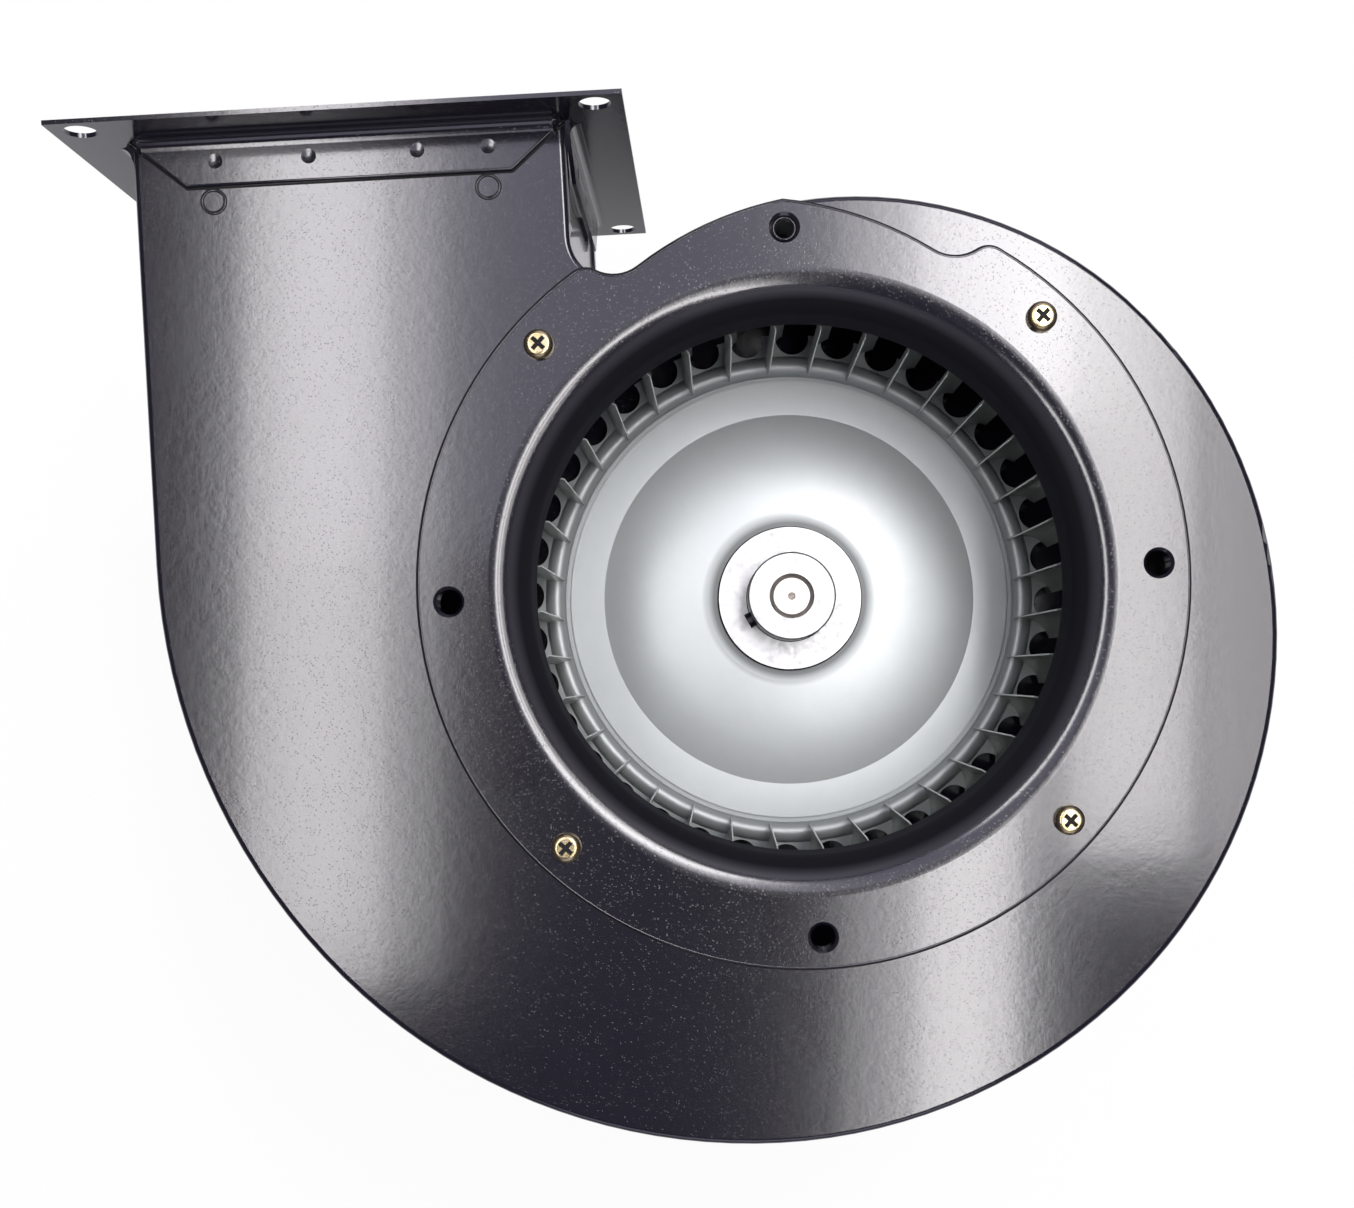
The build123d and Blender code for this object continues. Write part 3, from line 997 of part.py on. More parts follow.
with BuildPart() as run_capacitor:
    with Locations((FLOOR_X + CAPACITOR_RADIUS, CAPACITOR_Y, BOX_Z)):
        Cylinder(CAPACITOR_RADIUS, CAPACITOR_LENGTH)
    fillet(run_capacitor.edges().filter_by(GeomType.CIRCLE), CAPACITOR_ROUND)
run_capacitor.part.label = "run_capacitor"

# Cable gland under the box
with BuildPart() as gland_body:
    with BuildSketch(Plane((GLAND_X, 0, GLAND_SEAT_Z))):
        RegularPolygon(GLAND_FLATS / 2, 6, major_radius=False)
    extrude(amount=-GLAND_COLLAR)
    with BuildSketch(Plane((GLAND_X, 0, GLAND_SEAT_Z))):
        Circle(GLAND_THREAD_RADIUS)
    extrude(amount=GLAND_THREAD)
    with BuildSketch(Plane((GLAND_X, 0, GLAND_SEAT_Z - GLAND_COLLAR))):
        Circle(GLAND_THREAD_RADIUS)
    extrude(amount=-GLAND_THREAD)
    with Locations((GLAND_X, 0, GLAND_SEAT_Z)):
        Cylinder(GLAND_BORE_RADIUS, 4 * GLAND_CAP, mode=Mode.SUBTRACT)
gland_body.part.label = "gland_body"

with BuildPart() as gland_cap:
    with BuildSketch(Plane((GLAND_X, 0, GLAND_SEAT_Z - GLAND_COLLAR))):
        RegularPolygon(GLAND_FLATS / 2, 6, major_radius=False)
    extrude(amount=-GLAND_CAP)
    fillet(gland_cap.edges().group_by(Axis.Z)[0], GLAND_ROUND)
    with BuildSketch(Plane((GLAND_X, 0, GLAND_SEAT_Z - GLAND_COLLAR))):
        Circle(GLAND_THREAD_RADIUS + BOLT_FIT)
    extrude(amount=-GLAND_THREAD, mode=Mode.SUBTRACT)
    with Locations((GLAND_X, 0, GLAND_SEAT_Z - GLAND_COLLAR)):
        Cylinder(GLAND_BORE_RADIUS, 4 * GLAND_CAP, mode=Mode.SUBTRACT)
gland_cap.part.label = "gland_cap"

PARTS = (
    front_plate, rear_plate, scroll_band, outlet_flange, inlet_ring, ring_screws, clinch_nuts,
    impeller_disc, impeller_blades, impeller_front_ring, impeller_hub, hub_set_screw, shaft,
    front_bearing_outer, front_bearing_inner, rear_bearing_outer, rear_bearing_inner, wave_washer,
    rotor_core, rotor_end_rings, stator_core, stator_windings, motor_frame, motor_front_shield,
    motor_rear_shield, tie_bolts, motor_bolt_washers, motor_bolts, cooling_fan, fan_ring,
    fan_cover, fan_cover_screws, terminal_box, lid_gasket, terminal_lid, lid_screws,
    terminal_block, run_capacitor, gland_body, gland_cap,
)
for piece in PARTS:
    export_step(piece.part, "parts/" + piece.part.label + ".step")
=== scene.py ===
"""Looks of the centrifugal blower: finishes, small surface detail, camera, floor and light."""

import json
import math

import bmesh
import bpy
from mathutils import Matrix, Vector


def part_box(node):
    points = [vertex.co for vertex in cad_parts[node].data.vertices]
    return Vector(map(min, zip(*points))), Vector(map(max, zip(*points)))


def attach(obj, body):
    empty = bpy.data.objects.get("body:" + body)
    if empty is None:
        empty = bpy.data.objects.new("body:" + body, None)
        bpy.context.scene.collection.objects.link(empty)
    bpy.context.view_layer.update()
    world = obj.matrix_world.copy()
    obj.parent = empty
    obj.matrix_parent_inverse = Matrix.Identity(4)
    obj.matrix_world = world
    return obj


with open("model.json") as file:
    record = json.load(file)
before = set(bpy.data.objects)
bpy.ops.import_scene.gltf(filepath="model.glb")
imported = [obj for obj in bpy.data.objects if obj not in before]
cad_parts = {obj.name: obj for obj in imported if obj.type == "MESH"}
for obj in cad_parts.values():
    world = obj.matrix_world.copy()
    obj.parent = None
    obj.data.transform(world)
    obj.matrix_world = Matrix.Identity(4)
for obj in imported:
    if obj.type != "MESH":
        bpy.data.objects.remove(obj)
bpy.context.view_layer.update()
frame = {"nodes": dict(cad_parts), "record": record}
nodes = frame["nodes"]

# Places in the frame, in metres
RING_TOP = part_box("inlet_ring")[1].z
PLATE_TOP = 0.270
HUB_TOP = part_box("impeller_hub")[1].z
HUB_FLANGE_DROP = 0.0135
HUB_FLANGE_THICKNESS = 0.0025
HUB_FLANGE_RADIUS = 0.02285
HUB_SLEEVE_RADIUS = 0.0138
SCREW_HEAD_RADIUS = 0.0040
RECESS_RADIUS = 0.0012
RECESS_DEPTH = 0.0005

# Radii between which painted shade comes in: the dark throat, the dark ring round the hub and the darker
# band beyond the disc's bead
PAINTED_THROAT_SHADE_EDGE = (0.0765, 0.0800)
HUB_SHADE_EDGE = (0.0245, 0.0285)
PAINTED_RIM_SHADE_EDGE = (0.0714, 0.0726)

# Finishes that more than one piece wears
CHARCOAL = {"base": (0.0105, 0.0092, 0.0165), "gloss": 0.155, "peel": 0.32, "clear": 0.35}
DULL_ZINC = {"base": (0.68, 0.72, 0.715), "rough": 0.42, "grain": 0.30}

# Sockets of the Mix node (first, second, result) for numbers and for colours
MIX_NUMBERS = (2, 3, 0)
MIX_COLOURS = (6, 7, 2)


# Node helpers
def new_material(name):
    """Material with a Principled shader on its output; returns the material, its tree and the shader."""
    material = bpy.data.materials.new(name)
    material.use_nodes = True
    tree = material.node_tree
    tree.nodes.clear()
    output = tree.nodes.new("ShaderNodeOutputMaterial")
    shader = tree.nodes.new("ShaderNodeBsdfPrincipled")
    tree.links.new(shader.outputs["BSDF"], output.inputs["Surface"])
    return material, tree, shader


def feed(tree, socket, value):
    """Links a socket to another one, or sets it to a plain value."""
    if isinstance(value, bpy.types.NodeSocket):
        tree.links.new(value, socket)
    else:
        socket.default_value = value


def calculate(tree, operation, *values):
    """One sum on numbers or sockets."""
    node = tree.nodes.new("ShaderNodeMath")
    node.operation = operation
    for socket, value in zip(node.inputs, values):
        feed(tree, socket, value)
    return node.outputs[0]


def separate(tree, vector):
    """The X, Y and Z sockets of a vector."""
    node = tree.nodes.new("ShaderNodeSeparateXYZ")
    tree.links.new(vector, node.inputs[0])
    return node.outputs["X"], node.outputs["Y"], node.outputs["Z"]


def combine(tree, *parts):
    """A vector from up to three sockets."""
    node = tree.nodes.new("ShaderNodeCombineXYZ")
    for part, socket in zip(parts, node.inputs):
        tree.links.new(part, socket)
    return node.outputs[0]


def noise(tree, coords, scale, detail, roughness=0.5, stretch=None):
    """Noise factor, with scale in features per metre and an optional stretch of the coordinates."""
    if stretch is not None:
        mapping = tree.nodes.new("ShaderNodeMapping")
        mapping.inputs["Scale"].default_value = stretch
        tree.links.new(coords, mapping.inputs["Vector"])
        coords = mapping.outputs["Vector"]
    node = tree.nodes.new("ShaderNodeTexNoise")
    node.inputs["Scale"].default_value = scale
    node.inputs["Detail"].default_value = detail
    node.inputs["Roughness"].default_value = roughness
    tree.links.new(coords, node.inputs["Vector"])
    return node.outputs["Fac"]


def ramp(tree, factor, *stops):
    """Colour ramp through (position, colour) stops."""
    node = tree.nodes.new("ShaderNodeValToRGB")
    points = node.color_ramp.elements
    while len(points) < len(stops):
        points.new(0.5)
    for point, (position, colour) in zip(points, stops):
        point.position = position
        point.color = (*colour, 1.0)
    tree.links.new(factor, node.inputs["Fac"])
    return node.outputs["Color"]


def spread(tree, factor, low, high, source=(0.3, 0.7)):
    """Maps a factor from its source range to low and high."""
    node = tree.nodes.new("ShaderNodeMapRange")
    for socket, value in zip(("From Min", "From Max", "To Min", "To Max"), (*source, low, high)):
        node.inputs[socket].default_value = value
    tree.links.new(factor, node.inputs["Value"])
    return node.outputs["Result"]


def blend(tree, factor, first, second):
    """Passes from one socket to a plain number or colour as the factor grows."""
    node = tree.nodes.new("ShaderNodeMix")
    is_colour = isinstance(second, tuple)
    node.data_type = "RGBA" if is_colour else "FLOAT"
    start, end, result = MIX_COLOURS if is_colour else MIX_NUMBERS
    tree.links.new(factor, node.inputs[0])
    tree.links.new(first, node.inputs[start])
    node.inputs[end].default_value = (*second, 1.0) if is_colour else second
    return node.outputs[result]


def bump(tree, *layers):
    """Chains bump layers given as (height socket, strength, distance in metres)."""
    normal = None
    for height, strength, distance in layers:
        node = tree.nodes.new("ShaderNodeBump")
        node.inputs["Strength"].default_value = strength
        node.inputs["Distance"].default_value = distance
        tree.links.new(height, node.inputs["Height"])
        if normal is not None:
            tree.links.new(normal, node.inputs["Normal"])
        normal = node.outputs["Normal"]
    return normal


def object_coords(tree):
    """Position in object space."""
    return tree.nodes.new("ShaderNodeTexCoord").outputs["Object"]


def radial_coords(tree):
    """Distance from the shaft, turn angle and height, for marks that follow a lathe or a spin."""
    x, y, z = separate(tree, object_coords(tree))
    length = tree.nodes.new("ShaderNodeVectorMath")
    length.operation = "LENGTH"
    tree.links.new(combine(tree, x, y), length.inputs[0])
    return combine(tree, length.outputs["Value"], calculate(tree, "ARCTAN2", y, x), z)


def scaled(colour, factor):
    """The colour made darker or lighter."""
    return tuple(c * factor for c in colour)


def grey(level):
    """A neutral colour."""
    return level, level, level


# Finishes
def enamel(name, base, gloss, peel, clear, throat=None):
    """Glossy enamel with orange peel, dust and pits; inside the throat's radii it is painted shade: dark
    navy, matt and metallic, without coat.
    """
    material, tree, shader = new_material(name)
    coords = object_coords(tree)
    cloud = noise(tree, coords, scale=60.0, detail=6.0, roughness=0.7)
    colour = ramp(tree, cloud, (0.3, scaled(base, 0.94)), (0.7, scaled(base, 1.06)))
    speck = noise(tree, coords, scale=2600.0, detail=0.0)
    dust = ramp(tree, speck, (0.80, grey(0.0)), (0.88, grey(0.06)))
    colour = blend(tree, dust, colour, (0.20, 0.19, 0.21))
    patch = noise(tree, coords, scale=110.0, detail=6.0, roughness=0.7)
    rough = spread(tree, patch, gloss * 0.97, gloss * 1.04)
    coat = clear
    # Painted shade: within the throat's radii the colour turns dark navy, the roughness full, the coat
    # nil and the finish metallic
    if throat is not None:
        radius = separate(tree, radial_coords(tree))[0]
        inside = spread(tree, radius, 1.0, 0.0, throat)
        rough = blend(tree, inside, rough, 1.0)
        colour = blend(tree, inside, colour, (0.038, 0.038, 0.048))
        coat = spread(tree, radius, 0.0, clear, throat)
        tree.links.new(inside, shader.inputs["Metallic"])
    tree.links.new(colour, shader.inputs["Base Color"])
    tree.links.new(rough, shader.inputs["Roughness"])
    feed(tree, shader.inputs["Coat Weight"], coat)
    shader.inputs["Specular IOR Level"].default_value = 1.0
    shader.inputs["Coat Roughness"].default_value = 0.06
    wave = noise(tree, coords, scale=12.0, detail=1.0, roughness=0.4)
    broad = noise(tree, coords, scale=380.0, detail=2.0)
    fine = noise(tree, coords, scale=1100.0, detail=2.0)
    pits = ramp(tree, noise(tree, coords, scale=1500.0, detail=0.0),
                (0.20, grey(1.0)), (0.26, grey(0.5)), (0.76, grey(0.5)), (0.82, grey(0.0)))
    normal = bump(tree, (wave, 0.30, 0.0003), (broad, peel, 0.00005), (fine, peel, 0.00002),
                  (pits, 0.6, 0.00005))
    tree.links.new(normal, shader.inputs["Normal"])
    return material


def galvanised(name, base, rough, grain, hub_shade=None, bead=None):
    """Dull zinc with a faint spin grain; the colour is painted darker round the hub as painted shade and
    dark reflection, and beyond the bead's edge as painted shade.
    """
    material, tree, shader = new_material(name)
    coords = object_coords(tree)
    spin = radial_coords(tree)
    cloud = noise(tree, coords, scale=90.0, detail=6.0, roughness=0.7)
    colour = ramp(tree, cloud, (0.3, scaled(base, 0.95)), (0.7, base))
    # Painted shade: the colour drops to 22% round the hub and to 66% beyond the bead's edge
    for edge, within, beyond, share in ((hub_shade, 1.0, 0.0, 0.22), (bead, 0.0, 1.0, 0.66)):
        if edge is not None:
            mask = spread(tree, separate(tree, spin)[0], within, beyond, edge)
            colour = blend(tree, mask, colour, scaled(base, share))
    tree.links.new(colour, shader.inputs["Base Color"])
    shader.inputs["Metallic"].default_value = 0.45
    blotch = noise(tree, coords, scale=300.0, detail=5.0, roughness=0.7)
    tree.links.new(spread(tree, blotch, rough * 0.94, rough * 1.06), shader.inputs["Roughness"])
    rings = noise(tree, spin, scale=1.0, detail=3.0, roughness=0.6, stretch=(900.0, 1.2, 60.0))
    fine = noise(tree, coords, scale=1500.0, detail=2.0)
    normal = bump(tree, (rings, grain, 0.00001), (fine, 0.2, 0.000004))
    tree.links.new(normal, shader.inputs["Normal"])
    return material


def metal(name, base, rough, stretch, grain, tint=None, cloud_scale=120.0):
    """Plain metal, turned, ground, plated or cast, set by the stretch of its grain and its colour."""
    material, tree, shader = new_material(name)
    coords = object_coords(tree)
    cloud = noise(tree, coords, cloud_scale, detail=4.0, roughness=0.6)
    colour = ramp(tree, cloud, (0.35, base), (0.68, tint or scaled(base, 0.85)))
    tree.links.new(colour, shader.inputs["Base Color"])
    shader.inputs["Metallic"].default_value = 1.0
    blotch = noise(tree, coords, scale=500.0, detail=3.0, roughness=0.6)
    tree.links.new(spread(tree, blotch, rough * 0.8, rough * 1.2), shader.inputs["Roughness"])
    marks = noise(tree, radial_coords(tree), scale=1.0, detail=2.0, roughness=0.6, stretch=stretch)
    tree.links.new(bump(tree, (marks, grain, 0.00003)), shader.inputs["Normal"])
    return material


def moulded(name, base, rough, grain_scale=900.0, grain=0.3):
    """Moulded plastic or rubber with a fine skin."""
    material, tree, shader = new_material(name)
    coords = object_coords(tree)
    cloud = noise(tree, coords, scale=40.0, detail=4.0, roughness=0.6)
    light = tuple(c * 1.2 + 0.004 for c in base)
    tree.links.new(ramp(tree, cloud, (0.3, base), (0.7, light)), shader.inputs["Base Color"])
    tree.links.new(spread(tree, cloud, rough * 0.88, rough * 1.12), shader.inputs["Roughness"])
    skin = noise(tree, coords, grain_scale, detail=3.0, roughness=0.6)
    tree.links.new(bump(tree, (skin, grain, 0.00003)), shader.inputs["Normal"])
    return material


finishes = {
    "housing_paint": enamel("charcoal_enamel", **CHARCOAL),
    "motor_paint": enamel("motor_enamel", (0.020, 0.018, 0.023), gloss=0.38, peel=0.9, clear=0.05),
    "zinc_plate": metal("yellow_zinc", (0.60, 0.49, 0.24), rough=0.28, stretch=(900.0, 8.0, 600.0),
                        grain=0.2, tint=(0.60, 0.50, 0.36), cloud_scale=700.0),
    "impeller_steel": galvanised("galvanised_sheet", **DULL_ZINC),
    "hub_aluminium": metal("turned_hub", (0.58, 0.585, 0.585), rough=0.46,
                           stretch=(5200.0, 1.0, 900.0), grain=0.30),
    "black_steel": metal("black_oxide", (0.035, 0.035, 0.04), rough=0.42,
                         stretch=(600.0, 4.0, 800.0), grain=0.3),
    "shaft_steel": metal("ground_shaft", (0.58, 0.545, 0.52), rough=0.40,
                         stretch=(2600.0, 1.0, 2600.0), grain=0.3),
    "bearing_steel": metal("bearing_steel", (0.66, 0.67, 0.69), rough=0.16,
                           stretch=(3000.0, 1.0, 1200.0), grain=0.15),
    "core_steel": metal("laminated_steel", (0.38, 0.38, 0.40), rough=0.45,
                        stretch=(300.0, 2.0, 2000.0), grain=0.6),
    "cast_aluminium": metal("cast_aluminium", (0.74, 0.75, 0.77), rough=0.42,
                            stretch=(900.0, 40.0, 900.0), grain=0.5),
    "copper": metal("enamelled_copper", (0.70, 0.33, 0.14), rough=0.28,
                    stretch=(1500.0, 6.0, 1500.0), grain=0.8, tint=(0.55, 0.22, 0.08)),
    "black_plastic": moulded("black_plastic", (0.018, 0.018, 0.019), rough=0.45),
    "gasket_rubber": moulded("gasket_rubber", grey(0.022), rough=0.75, grain_scale=1400.0, grain=0.6),
    "white_plastic": moulded("white_plastic", (0.72, 0.72, 0.69), rough=0.40),
    "capacitor_case": metal("drawn_can", (0.78, 0.79, 0.81), rough=0.28,
                            stretch=(80.0, 60.0, 2500.0), grain=0.3),
}
slot_of = {part["node"]: part["material_slot"] for part in frame["record"]["subparts"]}
for name, node in nodes.items():
    node.data.materials.clear()
    node.data.materials.append(finishes[slot_of[name]])
own_finishes = {
    "inlet_ring": enamel("ring_enamel", throat=PAINTED_THROAT_SHADE_EDGE, **CHARCOAL),
    "impeller_blades": galvanised("blade_zinc", (0.47, 0.495, 0.465), rough=0.30, grain=0.30),
    "impeller_disc": galvanised("disc_zinc", hub_shade=HUB_SHADE_EDGE, bead=PAINTED_RIM_SHADE_EDGE,
                                **DULL_ZINC),
}
for name, material in own_finishes.items():
    nodes[name].data.materials[0] = material


# Small detail: seams, paint beads and painted shadow lines, most of them taken from the rims of the
# solids
WELD_DISTANCE = 1e-6
LEVEL_TOLERANCE = 2e-5
TOP_TILT = 0.99
WALL_TILT = 0.5
OUTLINE_LENGTH = 0.2
HOLE_LENGTH = 0.02
BUTTON_RADII = (0.0030, 0.0042)
BUTTON_LINE = 0.06

# What an added piece wears: its material and its slot in the record
PAINT = (finishes["housing_paint"], "housing_paint")
# Painted shadow: near-black matt strips and floors laid where shade falls at edges, grooves and recesses
SHADOW = (moulded("painted_shadow_black", (0.004, 0.004, 0.005), rough=0.8), "black_steel")

# Section of the paint bead over an edge: outward from the wall, and height over the top face
EDGE_BEAD = (
    (-0.00030, -0.00020), (-0.00030, 0.00003), (0.0, 0.00006), (0.00012, 0.00001),
    (0.00024, -0.00010), (0.00032, -0.00026), (0.00035, -0.00045), (0.00035, -0.00115),
    (0.0, -0.00115),
)


def rim_edges(name, level):
    """Edges at one height where a flat top meets a wall: outward ways, neighbours and places."""
    shape = bmesh.new()
    shape.from_mesh(nodes[name].data)
    bmesh.ops.remove_doubles(shape, verts=shape.verts, dist=WELD_DISTANCE)
    walls = {}
    links = {}
    for edge in shape.edges:
        off_level = any(abs(v.co.z - level) > LEVEL_TOLERANCE for v in edge.verts)
        if len(edge.link_faces) != 2 or off_level:
            continue
        flat, wall = sorted(edge.link_faces, key=lambda face: -face.normal.z)
        if flat.normal.z < TOP_TILT or wall.normal.z > WALL_TILT:
            continue
        first, second = edge.verts
        out = Vector((wall.normal.x, wall.normal.y)).normalized()
        walls[frozenset((first.index, second.index))] = out
        links.setdefault(first.index, []).append(second.index)
        links.setdefault(second.index, []).append(first.index)
    places = {v.index: Vector((v.co.x, v.co.y)) for v in shape.verts if v.index in links}
    shape.free()
    return walls, links, places


def rim_chains(name, level):
    """Rims at one height, each as its points, their outward offsets and a closed flag."""
    walls, links, places = rim_edges(name, level)
    chains = []
    left = set(walls)
    while left:
        ends = [i for i in sorted(links) if sum(frozenset((i, k)) in left for k in links[i]) == 1]
        order = [ends[0] if ends else min(min(pair) for pair in left)]
        while True:
            ahead = [k for k in sorted(links[order[-1]]) if frozenset((order[-1], k)) in left]
            if not ahead:
                break
            left.discard(frozenset((order[-1], ahead[0])))
            order.append(ahead[0])
        closed = order[0] == order[-1] and len(order) > 2
        outs = [walls[frozenset(pair)] for pair in zip(order, order[1:])]
        points = [places[i] for i in order]
        if closed:
            points = points[:-1]
        offsets = []
        for k in range(len(points)):
            before = outs[k - 1] if (closed or k > 0) else outs[0]
            after = outs[k] if k < len(outs) else outs[-1]
            offsets.append((before + after) / max(0.5, 1.0 + before.dot(after)))
        chains.append((points, offsets, closed))
    return chains


def chain_length(chain):
    """Length along the chain's points, without the closing step."""
    points = chain[0]
    return sum((b - a).length for a, b in zip(points, points[1:]))


def round_chain(centre, radius, steps):
    """Full circle as a closed chain."""
    angles = [2 * math.pi * k / steps for k in range(steps)]
    outs = [Vector((math.cos(a), math.sin(a))) for a in angles]
    return [Vector(centre) + out * radius for out in outs], outs, True


def flat_band(inner, outer, low, thick=0.00004):
    """Thin flat section that shows as a dark line of painted shadow."""
    return (inner, low), (outer, low), (outer, low + thick), (inner, low + thick)


def wire(out, level, radius, sides):
    """Round section."""
    angles = [2 * math.pi * k / sides for k in range(sides)]
    return [(out + radius * math.cos(a), level + radius * math.sin(a)) for a in angles]


def new_piece(name, points, faces, look, body, smooth):
    """Adds a mesh that wears the look's material and rides on the body."""
    material, slot = look
    mesh = bpy.data.meshes.new(name)
    mesh.from_pydata(points, [], faces)
    shape = bmesh.new()
    shape.from_mesh(mesh)
    bmesh.ops.recalc_face_normals(shape, faces=shape.faces)
    for face in shape.faces:
        face.smooth = smooth
    shape.to_mesh(mesh)
    shape.free()
    piece = bpy.data.objects.new(name, mesh)
    bpy.context.scene.collection.objects.link(piece)
    mesh.materials.append(material)
    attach(piece, body)


def swept(name, chains, section, look, body="housing", smooth=False):
    """Closed section of (outward, height) pairs carried along each chain."""
    points = []
    faces = []
    count = len(section)
    for places, offsets, closed in chains:
        first = len(points)
        for place, offset in zip(places, offsets):
            points += [(*(place + offset * out), height) for out, height in section]
        steps = len(places) if closed else len(places) - 1
        for k in range(steps):
            here = first + k * count
            there = first + (k + 1) % len(places) * count
            for m in range(count):
                n = (m + 1) % count
                faces.append((here + m, here + n, there + n, there + m))
        if not closed:
            faces.append(tuple(range(first, first + count)))
            last = first + steps * count
            faces.append(tuple(range(last + count - 1, last - 1, -1)))
    new_piece(name, points, faces, look, body, smooth)


# Painted shadow line and paint bead round the inlet ring and round the flange's tab
ring_rims = rim_chains("inlet_ring", RING_TOP)
outline = [chain for chain in ring_rims if chain_length(chain) > OUTLINE_LENGTH]
tab_rims = rim_chains("outlet_flange", RING_TOP)
edge_bead = [(out, RING_TOP + rise) for out, rise in EDGE_BEAD]
edge_shadow_line = flat_band(inner=0.00036, outer=0.00088, low=PLATE_TOP + 0.00001)
for name, rims in (("ring", outline), ("tab", tab_rims)):
    swept(name + "_gap", rims, edge_shadow_line, SHADOW)
    swept(name + "_bead", rims, edge_bead, PAINT, smooth=True)

# Bead round each tapped hole of the ring
tapped = [chain for chain in ring_rims if chain_length(chain) < HOLE_LENGTH]
hole_bead = wire(out=0.00002, level=RING_TOP - 0.00002, radius=0.00016, sides=8)
swept("hole_beads", tapped, hole_bead, PAINT, smooth=True)

# Painted shadow line and paint bead in the two button rings pressed into the front plate near the outlet
buttons = []
for chain in rim_chains("front_plate", PLATE_TOP):
    middle = sum(chain[0], Vector((0.0, 0.0))) / len(chain[0])
    reach = max((point - middle).length for point in chain[0])
    if chain[2] and BUTTON_RADII[0] < reach < BUTTON_RADII[1] and middle.y > BUTTON_LINE:
        buttons.append(round_chain(middle, reach, steps=48))
if buttons:
    button_shadow_line = flat_band(inner=-0.00092, outer=-0.00004, low=PLATE_TOP - 0.00048)
    swept("button_shadow_lines", buttons, button_shadow_line, SHADOW)
    button_bead = wire(out=-0.00048, level=PLATE_TOP - 0.0002, radius=0.00024, sides=10)
    swept("button_beads", buttons, button_bead, PAINT, smooth=True)

# Painted shade: a dark floor in the cross recess of each ring screw
screw_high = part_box("ring_screws")[1]
screw_reach = screw_high.x - SCREW_HEAD_RADIUS
recess_floor = flat_band(inner=-0.0011, outer=0.0008, low=screw_high.z - RECESS_DEPTH)
for k, (x, y) in enumerate(((1, 1), (-1, 1), (-1, -1), (1, -1)), start=1):
    circle = round_chain((x * screw_reach, y * screw_reach), RECESS_RADIUS, steps=32)
    swept("screw_shade_%d" % k, [circle], recess_floor, SHADOW)

# Painted shadow lines where the hub's flange meets the disc and where its sleeve meets the flange
flange_top = HUB_TOP - HUB_FLANGE_DROP
disc_flat = flange_top - HUB_FLANGE_THICKNESS
for name, radius, width, level in (("hub_gaps", HUB_FLANGE_RADIUS, 0.00050, disc_flat),
                                   ("sleeve_gap", HUB_SLEEVE_RADIUS, 0.00030, flange_top)):
    band = flat_band(inner=0.00002, outer=width, low=level + 0.00002)
    swept(name, [round_chain((0.0, 0.0), radius, steps=96)], band, SHADOW, body="rotor")


# Camera: straight above the inlet, the blower turned a little, as in the photograph
IMAGE_WIDTH = 1354
SENSOR_WIDTH = 36.0
PIXEL_SIZE = 0.000267
CAMERA_HEIGHT = 0.400
CAMERA_X = -0.0232
CAMERA_Y = -0.0235
CAMERA_TURN = 3.15
FOOT_RIGHT = 45.0
FOOT_DOWN = 71.0
camera_data = bpy.data.cameras.new("camera")
camera_data.sensor_width = SENSOR_WIDTH
camera_data.lens = CAMERA_HEIGHT / PIXEL_SIZE * SENSOR_WIDTH / IMAGE_WIDTH
camera_data.shift_x = -FOOT_RIGHT / IMAGE_WIDTH
camera_data.shift_y = FOOT_DOWN / IMAGE_WIDTH
camera_data.clip_start = 0.01
camera = bpy.data.objects.new("camera", camera_data)
camera.location = (CAMERA_X, CAMERA_Y, RING_TOP + CAMERA_HEIGHT)
camera.rotation_euler = (0.0, 0.0, -math.radians(CAMERA_TURN))
bpy.context.scene.collection.objects.link(camera)
bpy.context.scene.camera = camera


# Floor: one pale sheet just under the rest face
FLOOR_HALF = 6
FLOOR_LEVEL = -0.0002
PAPER_GLOW = 1.06
GLOW_SEEN = 0.86
GLOW_REFLECTED = 0.12


def paper_white(name):
    """Paper that shows white to the camera, weakly in reflections, and keeps a faint shadow."""
    material, tree, paper = new_material(name)
    fibre = noise(tree, object_coords(tree), scale=700.0, detail=3.0, roughness=0.6)
    shade = ramp(tree, fibre, (0.3, grey(0.84)), (0.7, grey(0.88)))
    tree.links.new(shade, paper.inputs["Base Color"])
    paper.inputs["Roughness"].default_value = 0.9
    tree.links.new(bump(tree, (fibre, 0.2, 0.0001)), paper.inputs["Normal"])
    glow = tree.nodes.new("ShaderNodeEmission")
    glow.inputs["Strength"].default_value = PAPER_GLOW
    path = tree.nodes.new("ShaderNodeLightPath").outputs
    reflected = calculate(tree, "MAXIMUM", path["Is Glossy Ray"], path["Is Transmission Ray"])
    share = calculate(tree, "MULTIPLY", reflected, GLOW_REFLECTED)
    share = calculate(tree, "MULTIPLY_ADD", path["Is Camera Ray"], GLOW_SEEN, share)
    final = tree.nodes.new("ShaderNodeMixShader")
    for value, socket in zip((share, paper.outputs[0], glow.outputs[0]), final.inputs):
        tree.links.new(value, socket)
    tree.links.new(final.outputs[0], tree.nodes["Material Output"].inputs["Surface"])
    return material


floor_corners = [(x * FLOOR_HALF, y * FLOOR_HALF, FLOOR_LEVEL)
                 for x, y in ((-1, -1), (1, -1), (1, 1), (-1, 1))]
floor_mesh = bpy.data.meshes.new("floor")
floor_mesh.from_pydata(floor_corners, [], [(0, 1, 2, 3)])
floor = bpy.data.objects.new("floor", floor_mesh)
bpy.context.scene.collection.objects.link(floor)
floor_mesh.materials.append(paper_white("floor_paper"))


# Light: strips and panels overhead make the streaks in the enamel, two panels light the sides
WARM = (1.0, 0.975, 0.985)
COOL = (0.84, 0.82, 1.0)
LAMP_HEIGHT = 1.45
PANEL_HEIGHT = 1.50
PANEL_SIZE = (2.2, 1.4)
PANEL_AIM = (0.0, 0.0, 0.15)

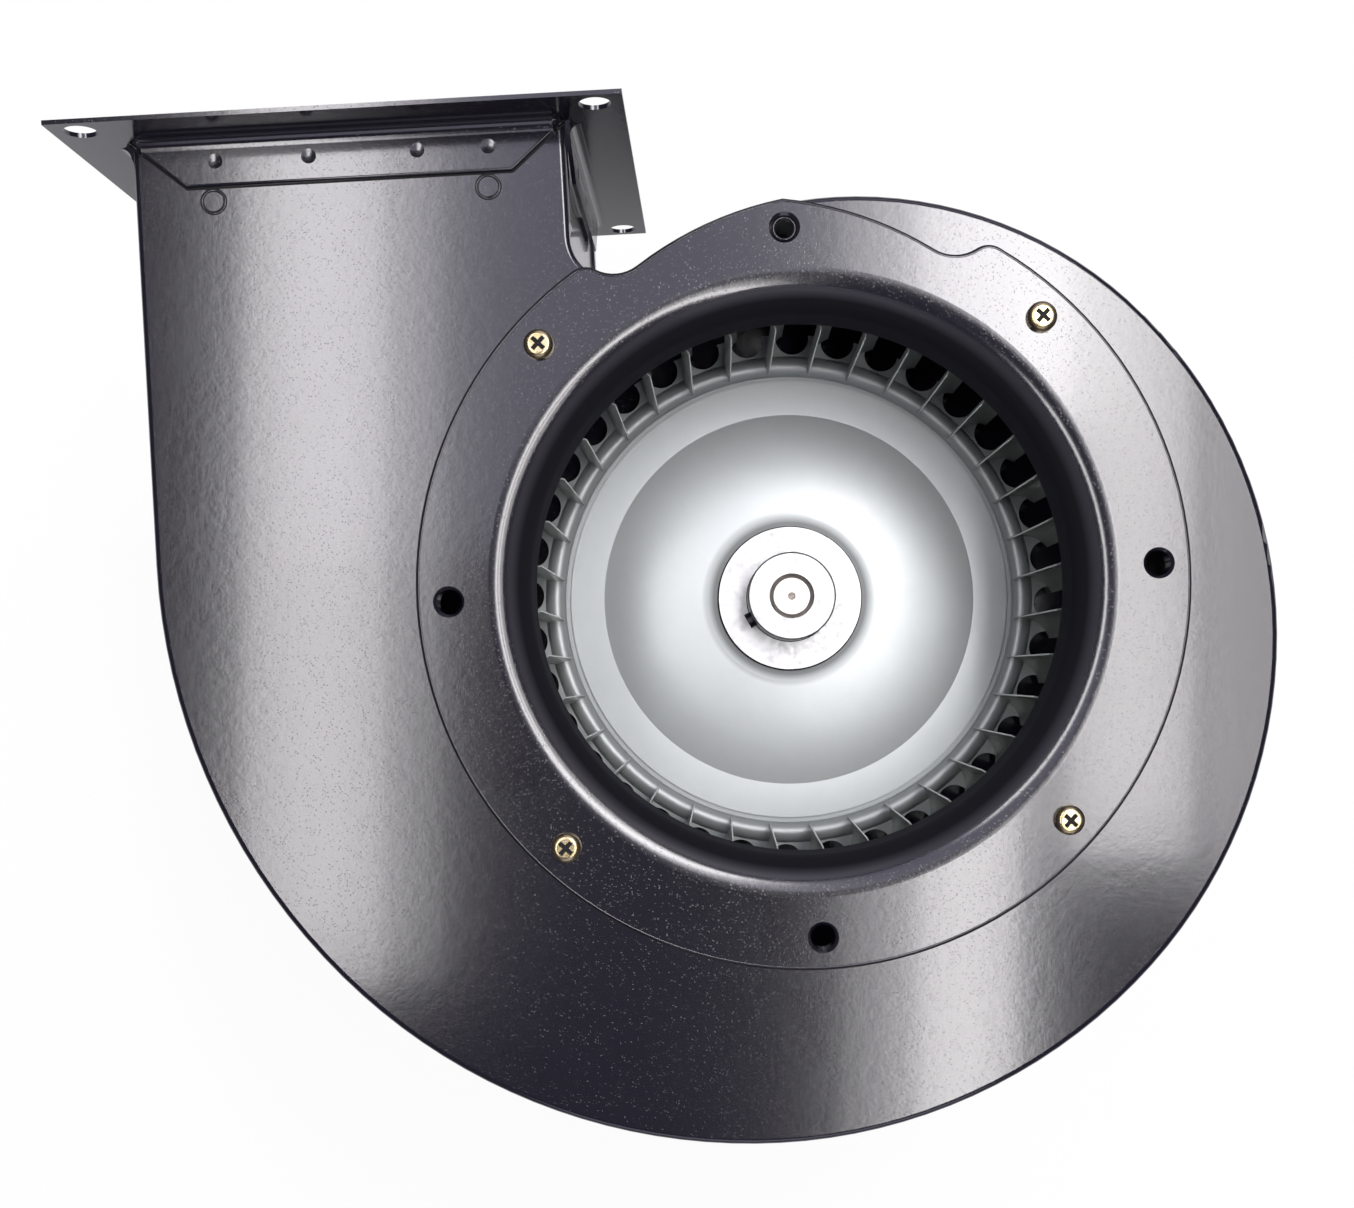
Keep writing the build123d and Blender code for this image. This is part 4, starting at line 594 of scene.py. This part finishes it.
# Overhead lamps: name, place, width and length, watts, colour
OVERHEAD = (
    ("strip_left", (-0.442, 0.22, LAMP_HEIGHT), (0.15, 1.1), 3.7, WARM),
    ("strip_left_soft", (-0.335, 0.22, LAMP_HEIGHT), (0.06, 1.1), 0.50, WARM),
    ("strip_right", (0.238, 0.0, LAMP_HEIGHT), (0.105, 1.5), 4.8, WARM),
    ("strip_right_soft", (0.145, 0.0, LAMP_HEIGHT), (0.08, 1.5), 0.95, WARM),
    ("strip_gap", (0.310, 0.40, LAMP_HEIGHT), (0.12, 0.36), 1.7, WARM),
    ("strip_near", (0.420, 0.20, LAMP_HEIGHT), (0.13, 0.88), 2.8, WARM),
    ("strip_far", (0.61, 0.20, LAMP_HEIGHT), (0.20, 1.1), 2.1, WARM),
    ("panel_corner", (0.36, 0.64, LAMP_HEIGHT), (0.46, 0.22), 1.8, WARM),
    ("panel_top", (-0.08, 0.56, PANEL_HEIGHT), (0.8, 0.9), 2.1, COOL),
)

# Side panels: name, place, watts
SIDE_PANELS = (
    ("panel_front", (0.0, -2.4, PANEL_HEIGHT), 8.0),
    ("panel_back", (0.6, 2.4, PANEL_HEIGHT), 7.0),
)


def add_lamp(name, place, aim, size, power, tint, turn=0.0):
    """Rectangular lamp that faces its aim, turned by some degrees about the vertical."""
    data = bpy.data.lights.new(name, "AREA")
    data.shape = "RECTANGLE"
    data.size, data.size_y = size
    data.energy = power
    data.color = tint
    lamp = bpy.data.objects.new(name, data)
    lamp.location = place
    facing = (Vector(aim) - Vector(place)).to_track_quat("-Z", "Y").to_matrix()
    lamp.rotation_euler = (Matrix.Rotation(-math.radians(turn), 3, "Z") @ facing).to_euler()
    bpy.context.scene.collection.objects.link(lamp)


for name, place, size, power, tint in OVERHEAD:
    add_lamp(name, place, (place[0], place[1], 0.0), size, power, tint, CAMERA_TURN)
for name, place, power in SIDE_PANELS:
    add_lamp(name, place, PANEL_AIM, PANEL_SIZE, power, COOL)

# Surround: weak and cool for the part, white for the camera
world = bpy.data.worlds.new("surround")
bpy.context.scene.world = world
world.use_nodes = True
surround = world.node_tree
dim_sky = surround.nodes["Background"]
dim_sky.inputs["Color"].default_value = (0.78, 0.75, 1.0, 1.0)
dim_sky.inputs["Strength"].default_value = 0.068
white_sky = surround.nodes.new("ShaderNodeBackground")
white_sky.inputs["Color"].default_value = (1.0, 1.0, 1.0, 1.0)
white_sky.inputs["Strength"].default_value = 1.0
seen = surround.nodes.new("ShaderNodeLightPath").outputs["Is Camera Ray"]
sky = surround.nodes.new("ShaderNodeMixShader")
for value, socket in zip((seen, dim_sky.outputs[0], white_sky.outputs[0]), sky.inputs):
    surround.links.new(value, socket)
surround.links.new(sky.outputs[0], surround.nodes["World Output"].inputs["Surface"])

bpy.context.scene.view_settings.view_transform = "Standard"
